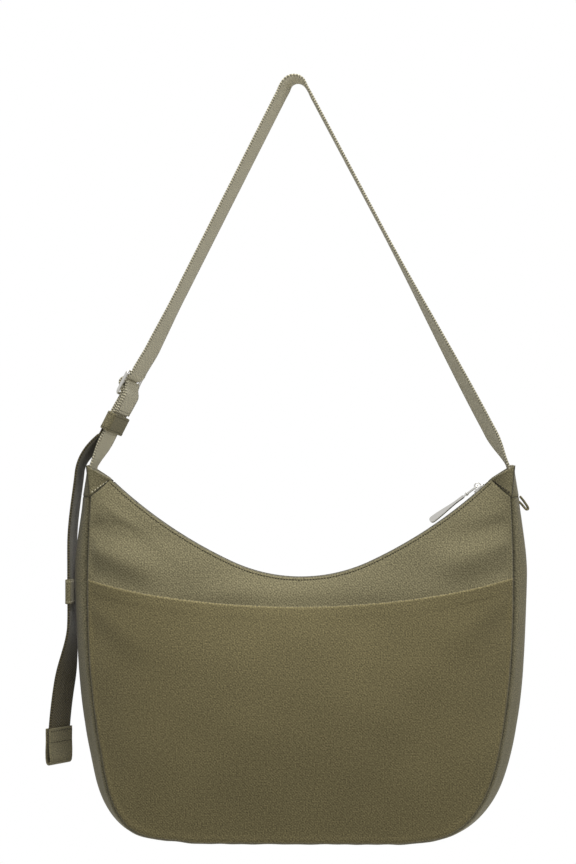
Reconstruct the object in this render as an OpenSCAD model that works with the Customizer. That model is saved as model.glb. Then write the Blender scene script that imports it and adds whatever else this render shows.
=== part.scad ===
// Hobo bag: a slouchy fabric shoulder bag with a dipped zipped mouth, a full-width
// front pocket, a tapered gusset and one webbing strap with an adjuster and a loose tail.
// Frame: millimetres, +Z up, front towards -Y, origin on the inside face of the strap
// where it hangs over a peg.

/* [Body] */
// Width across the side seams at the widest
body_w = 381; // [315:1:460]
// Height from the strap corners down to the flat base
body_h = 333.4; // [277:0.2:401]
// Depth of the gusset at the base
base_d = 96; // [80:1:116]
// How far the side gusset swells out past the seams
side_swell = 12.8; // [6:0.2:16]
// How far the front and back panels belly out
panel_belly = 26; // [10:1:30]
// Sideways offset of the bag's middle from the peg
body_x = 4; // [-10:0.5:10]
// Thickness of the outer canvas
cloth_t = 1.2; // [0.8:0.1:1.6]
// Half of the base's flat stretch
base_flat = 86; // [60:1:90]
// How much fuller the bag's lower left corner hangs than the right one
left_full = 6; // [0:0.5:10]

/* [Mouth] */
// Width of each corner patch between the side and the mouth's end
patch_w = 19.5; // [16:0.5:24]
// How far the mouth dips below the corner patches
mouth_dip = 88; // [70:1:100]
// Radius of the round bottom of the dip
dip_r = 147; // [120:1:170]
// Half angle of that round bottom, in degrees
dip_angle = 25; // [20:1:27]
// Gap between the front and back edges of the mouth
mouth_gap = 14; // [13:0.5:20]

/* [Pocket] */
// How far the pocket edge's lowest point lies below the corners
pocket_drop = 125; // [115:1:160]
// Radius of the pocket edge's curve
pocket_edge_r = 745; // [600:5:1200]
// How far the pocket stands off at the middle of its mouth
pocket_stand = 8; // [6:0.5:10]
// Height of the facing sewn behind the pocket edge
hem_h = 14; // [10:1:20]

/* [Strap] */
// Height from the bag's corners to the inside of the strap over the peg
strap_drop = 347; // [288:1:420]
// How far the middle of each strap end lies inside the bag's side
strap_in = 4; // [2:0.5:8]
// Width of the webbing
web_w = 30; // [26:1:34]
// Thickness of the webbing
web_t = 1.8; // [1.4:0.1:2]
// Radius of the peg or hook
peg_r = 9; // [6:0.5:14]
// Twist of the left leg at its hardware, in degrees
twist_left = 19; // [8:1:28]
// Twist of the right leg near its foot, in degrees
twist_right = 17; // [0:1:25]
// Twist of the left leg above its hardware, in degrees; the right leg untwists towards the peg
twist_top = 14; // [0:1:20]

/* [Adjuster] */
// Distance along the strap from the left corner to the adjuster's middle bar
adjuster_up = 80; // [72:1:110]
// Width inside the adjuster frame beyond the webbing, both sides together
adjuster_slack = 3; // [2:0.5:5]
// Radius of the adjuster's bars
bar_r = 1.4; // [1.2:0.1:1.6]
// Distance between neighbouring bars
bar_step = 11; // [10.5:0.5:13]
// Height of the two fabric keepers
keeper_h = 17; // [12:1:20]
// Clear length of strap below the adjuster's fixed layer at which the keeper sits
keeper_low = 34; // [30:1:36]

/* [Tail] */
// Length of the loose webbing below its keeper
tail_len = 268; // [220:2:320]
// Height of the folded fabric tab on the tail's end
tail_tab_h = 33; // [24:1:40]
// Twist of the tail's lower stretch, in degrees
tail_twist = 31; // [0:1:45]
// Turn of the tail where it hangs beside the bag, in degrees
tail_lean = 6; // [0:0.5:8]

/* [Zip] */
// Length of the slider
slider_len = 12; // [10:0.5:14]
// Width of the slider
slider_w = 9.5; // [9:0.1:10]
// Distance of the slider's middle from the right end of the mouth
slider_back = 13; // [13:1:40]
// Length of the pull link between its two pivots
link_len = 12; // [9:0.5:15]
// Length of the pull tab below its pivot
tab_len = 41; // [30:1:50]

/* [Hidden] */

fit = 0.3;                       // clearance between soft pieces that lie together
half_w = body_w / 2;
mouth_half = half_w - patch_w;   // half of the mouth's span between the patches
strap_half = half_w - strap_in;  // half the distance between the two strap ends
corner_z = -strap_drop;
base_z = corner_z - body_h;
patch_h = 28.3;                  // drop from the corner tips to the patches' seam
seam_z = corner_z - patch_h;
mouth_z = corner_z - 12.3;       // height of the mouth's two ends
mouth_low = mouth_z - mouth_dip;
top_d = web_w / 2 + 2;           // half depth of the gusset at the corners
canvas = "#6b6348";
webbing = "#a39c83";
metal = "#c8c8c4";
lining_c = "#8a8468";

// ---------- small helpers ----------
function smooth(t) = let(c = max(0, min(1, t))) c * c * (3 - 2 * c);
function mix(a, b, t) = a + (b - a) * t;
function unit(v) = v / norm(v);
function steps(n) = [for (i = [0:n]) i / n];
function bez(p, t) = pow(1 - t, 3) * p[0] + 3 * t * pow(1 - t, 2) * p[1]
    + 3 * t * t * (1 - t) * p[2] + pow(t, 3) * p[3];
function lengths(p) = [for (i = 0, s = 0; i < len(p);
    s = s + (i < len(p) - 1 ? norm(p[i + 1] - p[i]) : 0), i = i + 1) s];
// the point a share t of the way along a polyline, by length
function along(p, l, t) = let(s = t * l[len(l) - 1])
    [lookup(s, [for (i = [0:len(p) - 1]) [l[i], p[i].x]]),
     lookup(s, [for (i = [0:len(p) - 1]) [l[i], p[i].y]])];

// ---------- outline of the bag in the XZ plane ----------
// right half of the seam outline, from the corner patch to the middle of the base
base_bend = [half_w - 74.5, base_z + 3.2];
half_seam = concat(
    [for (t = steps(14)) bez([[half_w - 2, seam_z], [half_w + 1.5, seam_z - 62],
        [half_w + 1.5, base_z + 166], [half_w - 9.5, base_z + 104]], t)],
    [for (i = [1:14]) bez([[half_w - 9.5, base_z + 104], [half_w - 18, base_z + 47],
        [half_w - 34, base_z + 10], base_bend], i / 14)],
    [for (i = [1:8]) bez([base_bend, mix(base_bend, [base_flat, base_z], 0.3),
        [base_flat + 9, base_z], [base_flat, base_z]], i / 8)],
    [[0, base_z]]);
half_seam_l = lengths(half_seam);
// how far the lower left corner hangs out, by the share e of the way down to the base's middle
function fuller(e) = left_full * smooth((e - 0.5) / 0.16) * (1 - smooth((e - 0.66) / 0.1));
// the seam point for u from 0 (left corner) to 1 (right corner)
function seam(u) = let(e = 2 * min(u, 1 - u), p = along(half_seam, half_seam_l, e))
    u < 0.5 ? [body_x - p.x - 0.8 * fuller(e), p.y - 0.6 * fuller(e)] : [body_x + p.x, p.y];
function seam_out(u) = let(a = seam(max(0, u - 0.004)), b = seam(min(1, u + 0.004)), d = unit(b - a))
    [d.y, -d.x];

// the mouth: a round dip between two flatter arcs that run up to the corners
dip_end = [dip_r * sin(dip_angle), dip_r * (1 - cos(dip_angle))];
rise = [mouth_half, mouth_dip] - dip_end;
end_angle = 2 * atan2(rise.y, rise.x) - dip_angle;
side_r = norm(rise) / 2 / sin((end_angle - dip_angle) / 2);
dip_l = dip_r * dip_angle * PI / 180;
side_l = side_r * (end_angle - dip_angle) * PI / 180;
mouth_l = dip_l + side_l;        // half the mouth's length
// centre of the right side arc, which the slider turns about
arc_x = body_x - (side_r - dip_r) * sin(dip_angle);
arc_z = mouth_low + dip_r + (side_r - dip_r) * cos(dip_angle);
// angle of the mouth at the length s right of its lowest point
function mouth_angle(s) = s < dip_l ? s / dip_r * 180 / PI
    : dip_angle + (s - dip_l) / side_r * 180 / PI;
function mouth_half_pt(s) = let(a = mouth_angle(s)) s < dip_l
    ? [dip_r * sin(a), dip_r * (1 - cos(a))]
    : dip_end + side_r * [sin(a) - sin(dip_angle), cos(dip_angle) - cos(a)];
// mouth point at u from 0 to 1, lowered by n along its own normal
function mouth(u, n = 0) = let(s = abs(2 * u - 1) * mouth_l, p = mouth_half_pt(s), a = mouth_angle(s),
    q = p + n * [sin(a), -cos(a)])
    [body_x + (u < 0.5 ? -q.x : q.x), mouth_low + q.y];

// ---------- the panels' surface ----------
// half depth of the gusset, and how far it swells without hanging below the base
function edge_d(u) = mix(top_d, base_d / 2, smooth(min(u, 1 - u) / 0.36));
function swell(u) = let(e = min(u, 1 - u)) min((seam(u).y - base_z) / max(0.02, -seam_out(u).y),
    side_swell * mix(0.6, 1, smooth(e / 0.08)) * (1 - smooth((e - 0.28) / 0.13)));
function belly(u, v) = panel_belly * sin(180 * pow(v, 0.85)) * pow(sin(180 * u), 0.7);
// half depth of a panel at u across and v down
function depth(u, v) = mix(mouth_gap / 2, edge_d(u), v) + belly(u, v);
// panel point [x, half depth, z]
function panel(u, v) = let(p = mix(mouth(u), seam(u), v)) [p.x, depth(u, v), p.y];
// the share of v that leaves a margin of m before the seam
function v_in(u, m) = 1 - m / norm(seam(u) - mouth(u));

// ---------- solids from grids of points ----------
// closed solid between two grids of the same size, the first one outermost
module slab(outer, inner) {
    r = len(outer);
    c = len(outer[0]);
    pts = concat([for (row = outer) each row], [for (row = inner) each row]);
    n = r * c;
    rim = concat([for (j = [0:c - 1]) j], [for (i = [1:r - 1]) i * c + c - 1],
        [for (j = [c - 2:-1:0]) (r - 1) * c + j], [for (i = [r - 2:-1:1]) i * c]);
    faces = concat(
        [for (i = [0:r - 2], j = [0:c - 2], k = [0:1]) let(a = i * c + j)
            k == 0 ? [a, a + 1, a + c + 1] : [a, a + c + 1, a + c]],
        [for (i = [0:r - 2], j = [0:c - 2], k = [0:1]) let(a = n + i * c + j)
            k == 0 ? [a, a + c + 1, a + 1] : [a, a + c, a + c + 1]],
        [for (i = [0:len(rim) - 1], k = [0:1]) let(a = rim[i], b = rim[(i + 1) % len(rim)])
            k == 0 ? [b, a, n + a] : [b, n + a, n + b]]);
    polyhedron(pts, faces);
}
// puts [x, half depth, z] points on the front (side -1) or the back (side 1)
function faced(g, side, inward = 0) = [for (row = g) [for (p = row) [p.x, side * (p.y - inward), p.z]]];
// a panel-like slab of thickness t on one side of the bag
module sheet(g, side, t) {
    if (side < 0) slab(faced(g, side), faced(g, side, t));
    else slab(faced(g, side, t), faced(g, side));
}
// a solid of four-sided rings
module rings(r) {
    n = len(r);
    pts = [for (q = r) each q];
    faces = concat([[0, 1, 2], [0, 2, 3]],
        [for (i = [0:n - 2], k = [0:3], h = [0:1]) let(a = 4 * i + k, b = 4 * i + (k + 1) % 4)
            h == 0 ? [a, a + 4, b + 4] : [a, b + 4, b]],
        [let(m = 4 * n - 4) [m, m + 2, m + 1], let(m = 4 * n - 4) [m, m + 3, m + 2]]);
    polyhedron(pts, faces);
}
// a place on webbing whose line runs through [x, z] p with the outward direction o: twisted by tw
// so that its front edge leans outwards, and moved out by a distance; gives [point, way of the width]
function place(p, o, tw, out = 0) = [
    [p.x + out * cos(tw) * o.x, out * sin(tw), p.y + out * cos(tw) * o.y],
    [-sin(tw) * o.x, cos(tw), -sin(tw) * o.y]];
// webbing through a list of places
module ribbon(path) {
    m = len(path) - 1;
    rings([for (i = [0:m]) let(
        p = path[i][0], w = path[i][1] * web_w / 2,
        d = unit(path[min(m, i + 1)][0] - path[max(0, i - 1)][0]),
        n = unit(cross(w, d)) * web_t / 2)
        [p + w + n, p - w + n, p - w - n, p + w - n]]);
}

// ---------- body panels ----------
panel_u = steps(36);
panel_v = [0, 0.08, 0.2, 0.34, 0.48, 0.62, 0.75, 0.87, 0.95, 1];
function panel_grid(v0, v1, drop = 0) = [for (u = panel_u) [for (v = panel_v)
    panel(u, mix(v0, v1, v)) - [0, drop, 0]]];

module front_panel() {
    color(canvas) sheet(panel_grid(0, 1), -1, cloth_t);
}
module back_panel() {
    color(canvas) sheet(panel_grid(0, 1), 1, cloth_t);
}

// the gusset runs between the two panels' inner faces
gusset_u = steps(44);
gusset_y = [-1, -0.6, 0, 0.6, 1];
function gusset_pt(u, k, inward, margin) = let(
    o = seam_out(u), q = seam(u) + o * (swell(u) * cos(90 * k) - inward))
    [q.x, k * (edge_d(u) - cloth_t - margin), q.y];
function gusset_grid(inward, margin) = [for (u = gusset_u) [for (k = gusset_y)
    gusset_pt(u, k, inward, margin)]];
module gusset_panel() {
    color(canvas) slab(gusset_grid(0, fit), gusset_grid(cloth_t, fit));
}

// ---------- front pocket ----------
pocket_low = corner_z - pocket_drop;
function pocket_z(x) = let(dx = x - body_x + 4)
    pocket_low + pocket_edge_r - sqrt(pow(pocket_edge_r, 2) - dx * dx);
// v at which the line from mouth to seam at u meets the pocket edge
function pocket_v(u, lo = 0, hi = 1, n = 14) = let(m = (lo + hi) / 2, p = panel(u, m))
    n == 0 ? m : p.z > pocket_z(p.x) ? pocket_v(u, m, hi, n - 1) : pocket_v(u, lo, m, n - 1);
// first u whose line reaches the pocket edge a little before the seam
function pocket_u(side, lo = 0, hi = 0.4, n = 14) = let(m = (lo + hi) / 2, u = side < 0 ? m : 1 - m)
    n == 0 ? u : pocket_v(u) > 0.97 ? pocket_u(side, m, hi, n - 1) : pocket_u(side, lo, m, n - 1);
pocket_u0 = pocket_u(-1);
pocket_u1 = pocket_u(1);
function pocket_pt(w, s, add) = let(u = mix(pocket_u0, pocket_u1, w), v0 = pocket_v(u),
    p = panel(u, mix(v0, 1, s)))
    [p.x, p.y + add + cloth_t + pocket_stand * pow(1 - s, 1.5) * pow(sin(180 * w), 0.6), p.z];
module front_pocket() {
    g = [for (w = steps(32)) [for (s = [0, 0.1, 0.25, 0.42, 0.6, 0.77, 0.91, 1])
        pocket_pt(w, s, fit)]];
    color(canvas) sheet(g, -1, cloth_t);
}
// a strip of the same cloth turned in behind the pocket's edge
module pocket_facing() {
    facing_t = 0.8;
    g = [for (w = steps(26)) let(ww = mix(0.07, 0.93, w), u = mix(pocket_u0, pocket_u1, ww),
        run = norm(seam(u) - mouth(u)) * (1 - pocket_v(u)))
        [for (k = [0, 0.5, 1]) pocket_pt(ww, (1 + k * hem_h) / run, fit - cloth_t - fit)]];
    color(canvas) sheet(g, -1, facing_t);
}

// ---------- corners ----------
// side is -1 for the left corner and 1 for the right one
function tip(side) = [body_x + side * (half_w + 1), corner_z];
// cloth piece over the corner, from the webbing's mouth to the diagonal seam
module corner_patches(side) {
    u = side < 0 ? 0 : 1;
    c = mouth(u);
    d = seam(u);
    a = tip(side);
    up = unit(c - d);
    lift = 0.4 * [up.y * side, -up.x * side];
    away = (lift * (a - d) > 0 ? 1 : -1) * lift;
    g = [for (k = steps(6)) [for (m = steps(4)) let(
        edge = mix(d, a, k), far = mix(mix(d, c, 0.93), c, k),
        p = mix(edge, far, m) + away,
        y = mix(top_d, mouth_gap / 2 + 0.5, pow(m, 1.3)) + 3 * sin(180 * m) * k)
        [p.x, y, p.y]]];
    turned = side < 0 ? g : [for (row = g) [for (j = [len(row) - 1:-1:0]) row[j]]];
    color(canvas) {
        sheet(turned, -1, cloth_t);
        sheet(turned, 1, cloth_t);
    }
}
// narrow piece that closes the gusset above the side seam
module gusset_cap(side) {
    u = side < 0 ? 0 : 1;
    d = seam(u);
    o = seam_out(u);
    a = tip(side);
    half = top_d - cloth_t - fit;
    function cap_pt(k, m, inward) = let(
        q = mix(d, a, k) + [side, 0] * (swell(u) * (1 - k) * cos(90 * m) - inward))
        [q.x, m * half, q.y + (1 - k) * 0.4];
    outer = [for (k = steps(5)) [for (m = [-1, -0.6, 0, 0.6, 1]) cap_pt(k, m, 0)]];
    inner = [for (k = steps(5)) [for (m = [-1, -0.6, 0, 0.6, 1]) cap_pt(k, m, cloth_t)]];
    color(canvas) {
        if (side < 0) slab(inner, outer);
        else slab(outer, inner);
    }
}
module corner_patch_left() { corner_patches(-1); }
module corner_patch_right() { corner_patches(1); }
module gusset_cap_left() { gusset_cap(-1); }
module gusset_cap_right() { gusset_cap(1); }

// ---------- lining ----------
lining_t = 0.6;
lining_in = cloth_t + 0.6;
lining_u = [for (u = gusset_u) if (abs(u - 0.5) < 0.47) u];
// the lining's grid of points, i of 24 across and j of 7 down
function lining_pt(i, j, inward = 0) = let(u = mix(0.03, 0.97, i / 24))
    panel(u, mix(0.05, v_in(u, 7), j / 7)) - [0, lining_in + inward, 0];
module lining(side) {
    g = [for (i = [0:24]) [for (j = [0:7]) lining_pt(i, j)]];
    color(lining_c) sheet(g, side, lining_t);
}
module lining_front() { lining(-1); }
module lining_back() { lining(1); }
module lining_gusset() {
    color(lining_c) slab(
        [for (u = lining_u) [for (k = gusset_y) gusset_pt(u, k, lining_in + 0.2, 5)]],
        [for (u = lining_u) [for (k = gusset_y) gusset_pt(u, k, lining_in + 0.2 + lining_t, 5)]]);
}
// open-topped slip pocket sewn on the back lining
module inner_pocket() {
    g = [for (i = [9:15]) [for (j = [2:5]) lining_pt(i, j, lining_t + fit)]];
    color(lining_c) sheet(g, 1, lining_t);
}

// ---------- zip ----------
zip_u0 = 0.012;
zip_u1 = 0.988;
tape_t = 0.8;
tape_low = 0.2;                  // the tape's top lies this far below the mouth's edge
coil_r = 1.15;
coil_y = 2;
coil_low = 0.6;
slot_half = coil_y - coil_r;     // half the slot between the two coils
tape_in = coil_y + coil_r + 0.2;
tape_out = mouth_gap / 2 - cloth_t - 0.2;
zip_u = steps(56);
// a strip along the mouth with a four-sided cross section [y, n]
module mouth_strip(section) {
    rings([for (k = zip_u) let(u = mix(zip_u0, zip_u1, k))
        [for (q = section) let(p = mouth(u, q.y)) [p.x, q.x, p.y]]]);
}
function box_section(y0, y1, n0, n1) = [[y0, n0], [y0, n1], [y1, n1], [y1, n0]];
module zip_tape_front() {
    color("#7d765c") mouth_strip(box_section(-tape_out, -tape_in, tape_low, tape_low + tape_t));
}
module zip_tape_back() {
    color("#7d765c") mouth_strip(box_section(tape_in, tape_out, tape_low, tape_low + tape_t));
}
module zip_coil(side) {
    y = side * coil_y;
    color("#6f684f") mouth_strip([[y - coil_r, coil_low], [y, coil_low + coil_r],
        [y + coil_r, coil_low], [y, coil_low - coil_r]]);
}
module zip_coil_front() { zip_coil(-1); }
module zip_coil_back() { zip_coil(1); }
// a clamp across both coils at the mouth's end
module zip_stop(side) {
    u = side < 0 ? zip_u0 - 0.003 : zip_u1 + 0.003;
    p = mouth(u, coil_low);
    color(metal) translate([p.x, 0, p.y]) rotate([0, -side * end_angle, 0])
        cube([1.2, 2 * coil_y + 3, 3], center = true);
}
module zip_stop_left() { zip_stop(-1); }
module zip_stop_right() { zip_stop(1); }

// ---------- slider, in a frame on the mouth: x along it towards the corner, z out of it ----------
slider_angle = end_angle - slider_back / side_r * 180 / PI;
plate_t = 1.2;
channel_top = 0.9;               // height of the channel's roof over the mouth's edge
channel_low = -2.1;
roof_top = channel_top + plate_t;
pivot_z = roof_top + 1.6;        // height of the link's pivot
bridge_hole = 1.1;
wire_r = 0.8;                    // radius of the link's wire
module on_mouth() {
    translate([arc_x, 0, arc_z]) rotate([0, -slider_angle, 0]) translate([0, 0, -side_r]) children();
}
module slider_plate(z) {
    translate([0, 0, z]) linear_extrude(plate_t) hull() {
        translate([-slider_len / 2 + 1.5, 0]) square([3, slider_w - 1], center = true);
        translate([slider_len / 2 - 2.5, slider_w / 2 - 2.5]) circle(2.5, $fn = 24);
        translate([slider_len / 2 - 2.5, 2.5 - slider_w / 2]) circle(2.5, $fn = 24);
    }
}
module slider_body() {
    flange_t = 0.8;
    color(metal) on_mouth() {
        slider_plate(channel_top);
        slider_plate(channel_low - plate_t);
        for (s = [-1, 1]) {
            translate([-slider_len / 2 + 0.5, s * (slider_w / 2 - 0.5 - flange_t / 2) - flange_t / 2, 0.1])
                cube([slider_len - 3, flange_t, channel_top]);
            translate([-slider_len / 2 + 0.5, s * (slider_w / 2 - 0.5 - flange_t / 2) - flange_t / 2,
                channel_low - 0.1]) cube([slider_len - 3, flange_t, 0.8]);
        }
        translate([slider_len / 2 - 3.4, -0.45, channel_low - 0.1])
            cube([3, 0.9, channel_top - channel_low + 0.2]);
    }
}
// an arched loop of bent strip over the roof, which holds the link
module slider_bridge() {
    color(metal) on_mouth() translate([0, 1.1, 0]) rotate([90, 0, 0]) linear_extrude(2.2) difference() {
        hull() {
            translate([-3.6, roof_top]) square([7.2, 1]);
            translate([-1.4, roof_top + 3.2]) circle(1.6, $fn = 24);
            translate([1.4, roof_top + 3.2]) circle(1.6, $fn = 24);
        }
        hull() {
            translate([-2.3, roof_top - 1]) square([4.6, 1.6]);
            translate([-1, roof_top + 2.6]) circle(bridge_hole, $fn = 24);
            translate([1, roof_top + 2.6]) circle(bridge_hole, $fn = 24);
        }
    }
}
// the link's frame: x points down the mouth, away from the bridge
pull_lift = 5;                   // how far the link and tab lift off the mouth, in degrees
module on_link() {
    on_mouth() translate([0, 0, pivot_z]) rotate([0, pull_lift, 0]) children();
}
module cross_wire(x, half, r) {
    translate([x, half, 0]) rotate([90, 0, 0]) cylinder(h = 2 * half, r = r, $fn = 24);
}
module pull_link() {
    half = 2.6;
    color(metal) on_link() {
        cross_wire(0, half, wire_r);
        for (s = [-1, 1]) translate([-link_len, s * half, 0]) rotate([0, 90, 0])
            cylinder(h = link_len, r = wire_r, $fn = 24);
        for (x = [0, -link_len], s = [-1, 1]) translate([x, s * half, 0]) sphere(wire_r, $fn = 24);
        cross_wire(-link_len, half, wire_r);
    }
}
// a slim paddle with a round end, hung from the link by a barrel
tab_t = 1.6;
tab_tilt = 38;                   // the paddle leans towards the front, in degrees
module pull_tab() {
    barrel_r = wire_r + 0.9;
    color(metal) on_link() translate([-link_len, 0, 0]) {
        difference() {
            translate([0, 1.6, 0]) rotate([90, 0, 0]) cylinder(h = 3.2, r = barrel_r, $fn = 32);
            translate([0, 3, 0]) rotate([90, 0, 0]) cylinder(h = 6, r = wire_r + 0.08, $fn = 32);
        }
        translate([-barrel_r - 2, -1.5, -tab_t / 2]) cube([2.5, 3, tab_t]);
        translate([-barrel_r - 0.3, 0, 0]) rotate([tab_tilt, 0, 0]) translate([0, 0, -tab_t / 2])
            linear_extrude(tab_t) hull() {
                translate([-2, 0]) square([3, 3.2], center = true);
                translate([barrel_r + 4 - tab_len, 0]) circle(4, $fn = 40);
            }
    }
}

// ---------- side loop ----------
module side_loop() {
    u = 0.9935;
    o = seam_out(u);
    p = seam(u) + o * (swell(u) + 1);
    w = 9;
    color(canvas) translate([p.x, w / 2, p.y]) rotate([90, -8, 0]) linear_extrude(w) difference() {
        hull() {
            translate([0.4, 5.2]) circle(0.9, $fn = 24);
            translate([5.4, -2.4]) circle(2.4, $fn = 24);
            translate([0.6, -7]) circle(0.9, $fn = 24);
        }
        hull() {
            translate([1, 2.4]) circle(0.3, $fn = 24);
            translate([5.2, -2.4]) circle(1, $fn = 24);
            translate([1.1, -5]) circle(0.3, $fn = 24);
        }
    }
}

// ---------- strap ----------
web_r = peg_r + web_t / 2;
peg_z = -peg_r;
hinge_up = 8;                    // the strap flexes this far above the corners
flex_half = 6;                   // half the length of the webbing that bends
function foot(side) = [body_x + side * strap_half, corner_z];
// where the leg from that foot meets the curve over the peg, as an angle from +X
function touch(side) = let(v = foot(side) - [0, peg_z])
    atan2(v.y, v.x) + side * acos(web_r / norm(v)) + (side < 0 ? 360 : 0);
function touch_pt(side) = [0, peg_z] + web_r * [cos(touch(side)), sin(touch(side))];
function leg_dir(side) = unit(touch_pt(side) - foot(side));
leg_len_l = norm(touch_pt(-1) - foot(-1));
leg_len_r = norm(touch_pt(1) - foot(1));
function twist_r(up) = mix(0, twist_right, smooth(up / 30)) - mix(0, twist_right, smooth((up - 50) / 200));
function twist_l(up) = mix(0, twist_left, smooth(up / 24))
    + mix(0, twist_top - twist_left, smooth((up - 110) / 60));
// a place on a leg: up the leg from the foot, and out from it
function leg(side, up, out = 0) = let(d = leg_dir(side))
    place(foot(side) + up * d, [side * d.y, -side * d.x], side < 0 ? twist_l(up) : twist_r(up), out);

frame_out = 4;                   // the adjuster's bars lie this far outside the strap's line
loop_r = bar_r + 0.15 + web_t / 2;                // the sewn loop round the middle bar
over_r = loop_r + web_t + 0.15;                   // the strap over that loop
under = frame_out - loop_r;                       // the strap inside the outer bars
strap_top = adjuster_up + bar_step;
strap_low = adjuster_up - bar_step;
dive = 1.2;                      // the strap turns through the slots this far past the outer bars
// a place on a circle of radius r round the middle bar, from the outside at 0 to the top at 90
function round_bar(a, r) = [adjuster_up + r * sin(a), frame_out + r * cos(a)];
module main_strap() {
    right = [for (t = steps(16)) leg(1, mix(hinge_up + flex_half, leg_len_r, t))];
    peg = [for (i = [1:9]) let(a = mix(touch(1), touch(-1), i / 10), o = [cos(a), sin(a)])
        place([0, peg_z] + web_r * o, o, twist_top * i / 10)];
    left = [for (t = steps(14)) leg(-1, mix(leg_len_l, strap_top + 24, t))];
    weave = [[strap_top + 12, under * 0.6], [strap_top + 4, under], [strap_top - dive, under],
        for (a = [50:-25:-50]) round_bar(a, over_r),
        [strap_low + dive, under], [strap_low - 4, under],
        [keeper_low + keeper_h + 4, web_t + fit], [keeper_low + 9, web_t + fit]];
    color(webbing) ribbon(concat(right, peg, left, [for (q = weave) leg(-1, q.x, q.y)]));
}
// the bending stretches just above the bag's corners
module strap_flex(side) {
    color(webbing) ribbon([for (t = steps(4)) leg(side, hinge_up + mix(-flex_half, flex_half, t) * 0.96)]);
}
module strap_flex_left() { strap_flex(-1); }
module strap_flex_right() { strap_flex(1); }
// the ends sewn between the corner patches
module strap_end(side) {
    p = foot(side) + [0, hinge_up - flex_half - 0.5];
    q = [foot(side).x + side * 0.6, seam_z + 4];
    color(webbing) ribbon([for (t = steps(2)) place(mix(q, p, t), [side, 0], 0)]);
}
module strap_end_left() { strap_end(-1); }
module strap_end_right() { strap_end(1); }

// webbing from the left corner, up round the middle bar and sewn back on itself
module anchor_webbing() {
    inside = under - web_t - 0.25;
    lay = inside - web_t - 0.15;
    fold_end = keeper_low + keeper_h + 2;
    // the strap's slanted run through the lower slot, which this layer follows
    run = [strap_low + dive, under] - round_bar(-50, over_r);
    start = round_bar(-50, loop_r);
    path = [[hinge_up + flex_half, 0], [24, 0], [keeper_low, 0], [keeper_low + keeper_h, 0],
        [strap_low - 4, inside], start + run * (inside - start.y) / run.y,
        for (a = [-50:25:200]) round_bar(a, loop_r),
        [strap_low + 2, lay], [strap_low - 4, lay], [fold_end, -web_t - 0.2]];
    color(webbing) ribbon([for (q = path) leg(-1, q.x, q.y)]);
}

// turns x out from the left leg, y along the adjuster's bars and z up the leg
module on_left_leg(up, out) {
    p = foot(-1) + up * leg_dir(-1);
    d = leg_dir(-1);
    translate([p.x, 0, p.y]) rotate([0, atan2(d.x, d.y), 0]) rotate([0, 0, -twist_l(up)])
        translate([-out, 0, 0]) children();
}
module adjuster() {
    half = web_w / 2 + adjuster_slack / 2 + bar_r;
    color(metal) on_left_leg(adjuster_up, frame_out) {
        for (z = [-bar_step, 0, bar_step]) translate([0, half, z]) rotate([90, 0, 0])
            cylinder(h = 2 * half, r = bar_r, $fn = 24);
        for (s = [-1, 1]) {
            translate([0, s * half, -bar_step]) cylinder(h = 2 * bar_step, r = bar_r, $fn = 24);
            for (z = [-bar_step, bar_step]) translate([0, s * half, z]) sphere(bar_r, $fn = 24);
        }
    }
}
// a flat tube of doubled cloth; x is its thin way, y its wide way, z its height
module keeper(inner_x, inner_y, wall, h) {
    translate([0, 0, -h / 2]) linear_extrude(h) difference() {
        square([inner_x + 2 * wall, inner_y + 2 * wall], center = true);
        square([inner_x, inner_y], center = true);
    }
}
keeper_wall = 1.2;
keeper_gap = 0.5;
keeper_room = 3 * web_t + 2 * keeper_gap + 0.2;
module strap_keeper() {
    mid = keeper_low + keeper_h / 2;
    color(canvas) on_left_leg(mid, -0.05) keeper(keeper_room, web_w + 3, keeper_wall, keeper_h);
}

// ---------- tail ----------
tail_up = 28;                    // the tail bends at this place on the left leg
tail_out = web_t + 0.6;
tail_top = let(p = leg(-1, tail_up, tail_out)[0]) [p.x, p.z];
tail_bottom = tail_top.y - tail_len;
hang_x = body_x - half_w - side_swell - 4.2;      // the tail hangs just clear of the gusset
past_x = body_x - half_w - 8.3;                   // and passes the corner at this place
keeper2_z = corner_z - 113;
// the tail's line: out over the corner, straight down beside the bag, then drifting out
tail_curve = concat(
    [for (t = steps(7)) bez([tail_top, tail_top - [10, 8], [past_x + 1.4, corner_z + 8],
        [past_x, corner_z - 6]], t)],
    [for (i = [1:6]) bez([[past_x, corner_z - 6], [past_x - 1.7, corner_z - 23],
        [hang_x, corner_z - 49], [hang_x, corner_z - 72]], i / 6)],
    [[hang_x, corner_z - 90], [hang_x, corner_z - 115], [hang_x, corner_z - 140]],
    [for (i = [1:8]) bez([[hang_x, corner_z - 140], [hang_x, corner_z - 170],
        [hang_x - 9, tail_bottom + 50], [hang_x - 12, tail_bottom]], i / 8)]);
function tail_tw(z) = mix(twist_left, tail_lean, smooth((tail_top.y - z) / 30))
    + mix(0, tail_twist - tail_lean, smooth((corner_z - 140 - z) / 55));
function tail_out_way(i) = let(d = unit(tail_curve[min(len(tail_curve) - 1, i + 1)] - tail_curve[max(0, i - 1)]))
    [d.y, -d.x];
function tail_at(i) = place(tail_curve[i], tail_out_way(i), tail_tw(tail_curve[i].y));
module tail_webbing() {
    color(webbing) ribbon([for (i = [1:len(tail_curve) - 1]) tail_at(i)]);
}
// the bending stretch between the keeper and the hanging tail
module tail_flex() {
    top = [for (up = [keeper_low + 8.4, keeper_low + 3]) leg(-1, up, web_t + fit)];
    color(webbing) ribbon(concat(top, [leg(-1, tail_up, tail_out)], [[mix(tail_at(0)[0], tail_at(1)[0], 0.9),
        tail_at(1)[1]]]));
}
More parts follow.
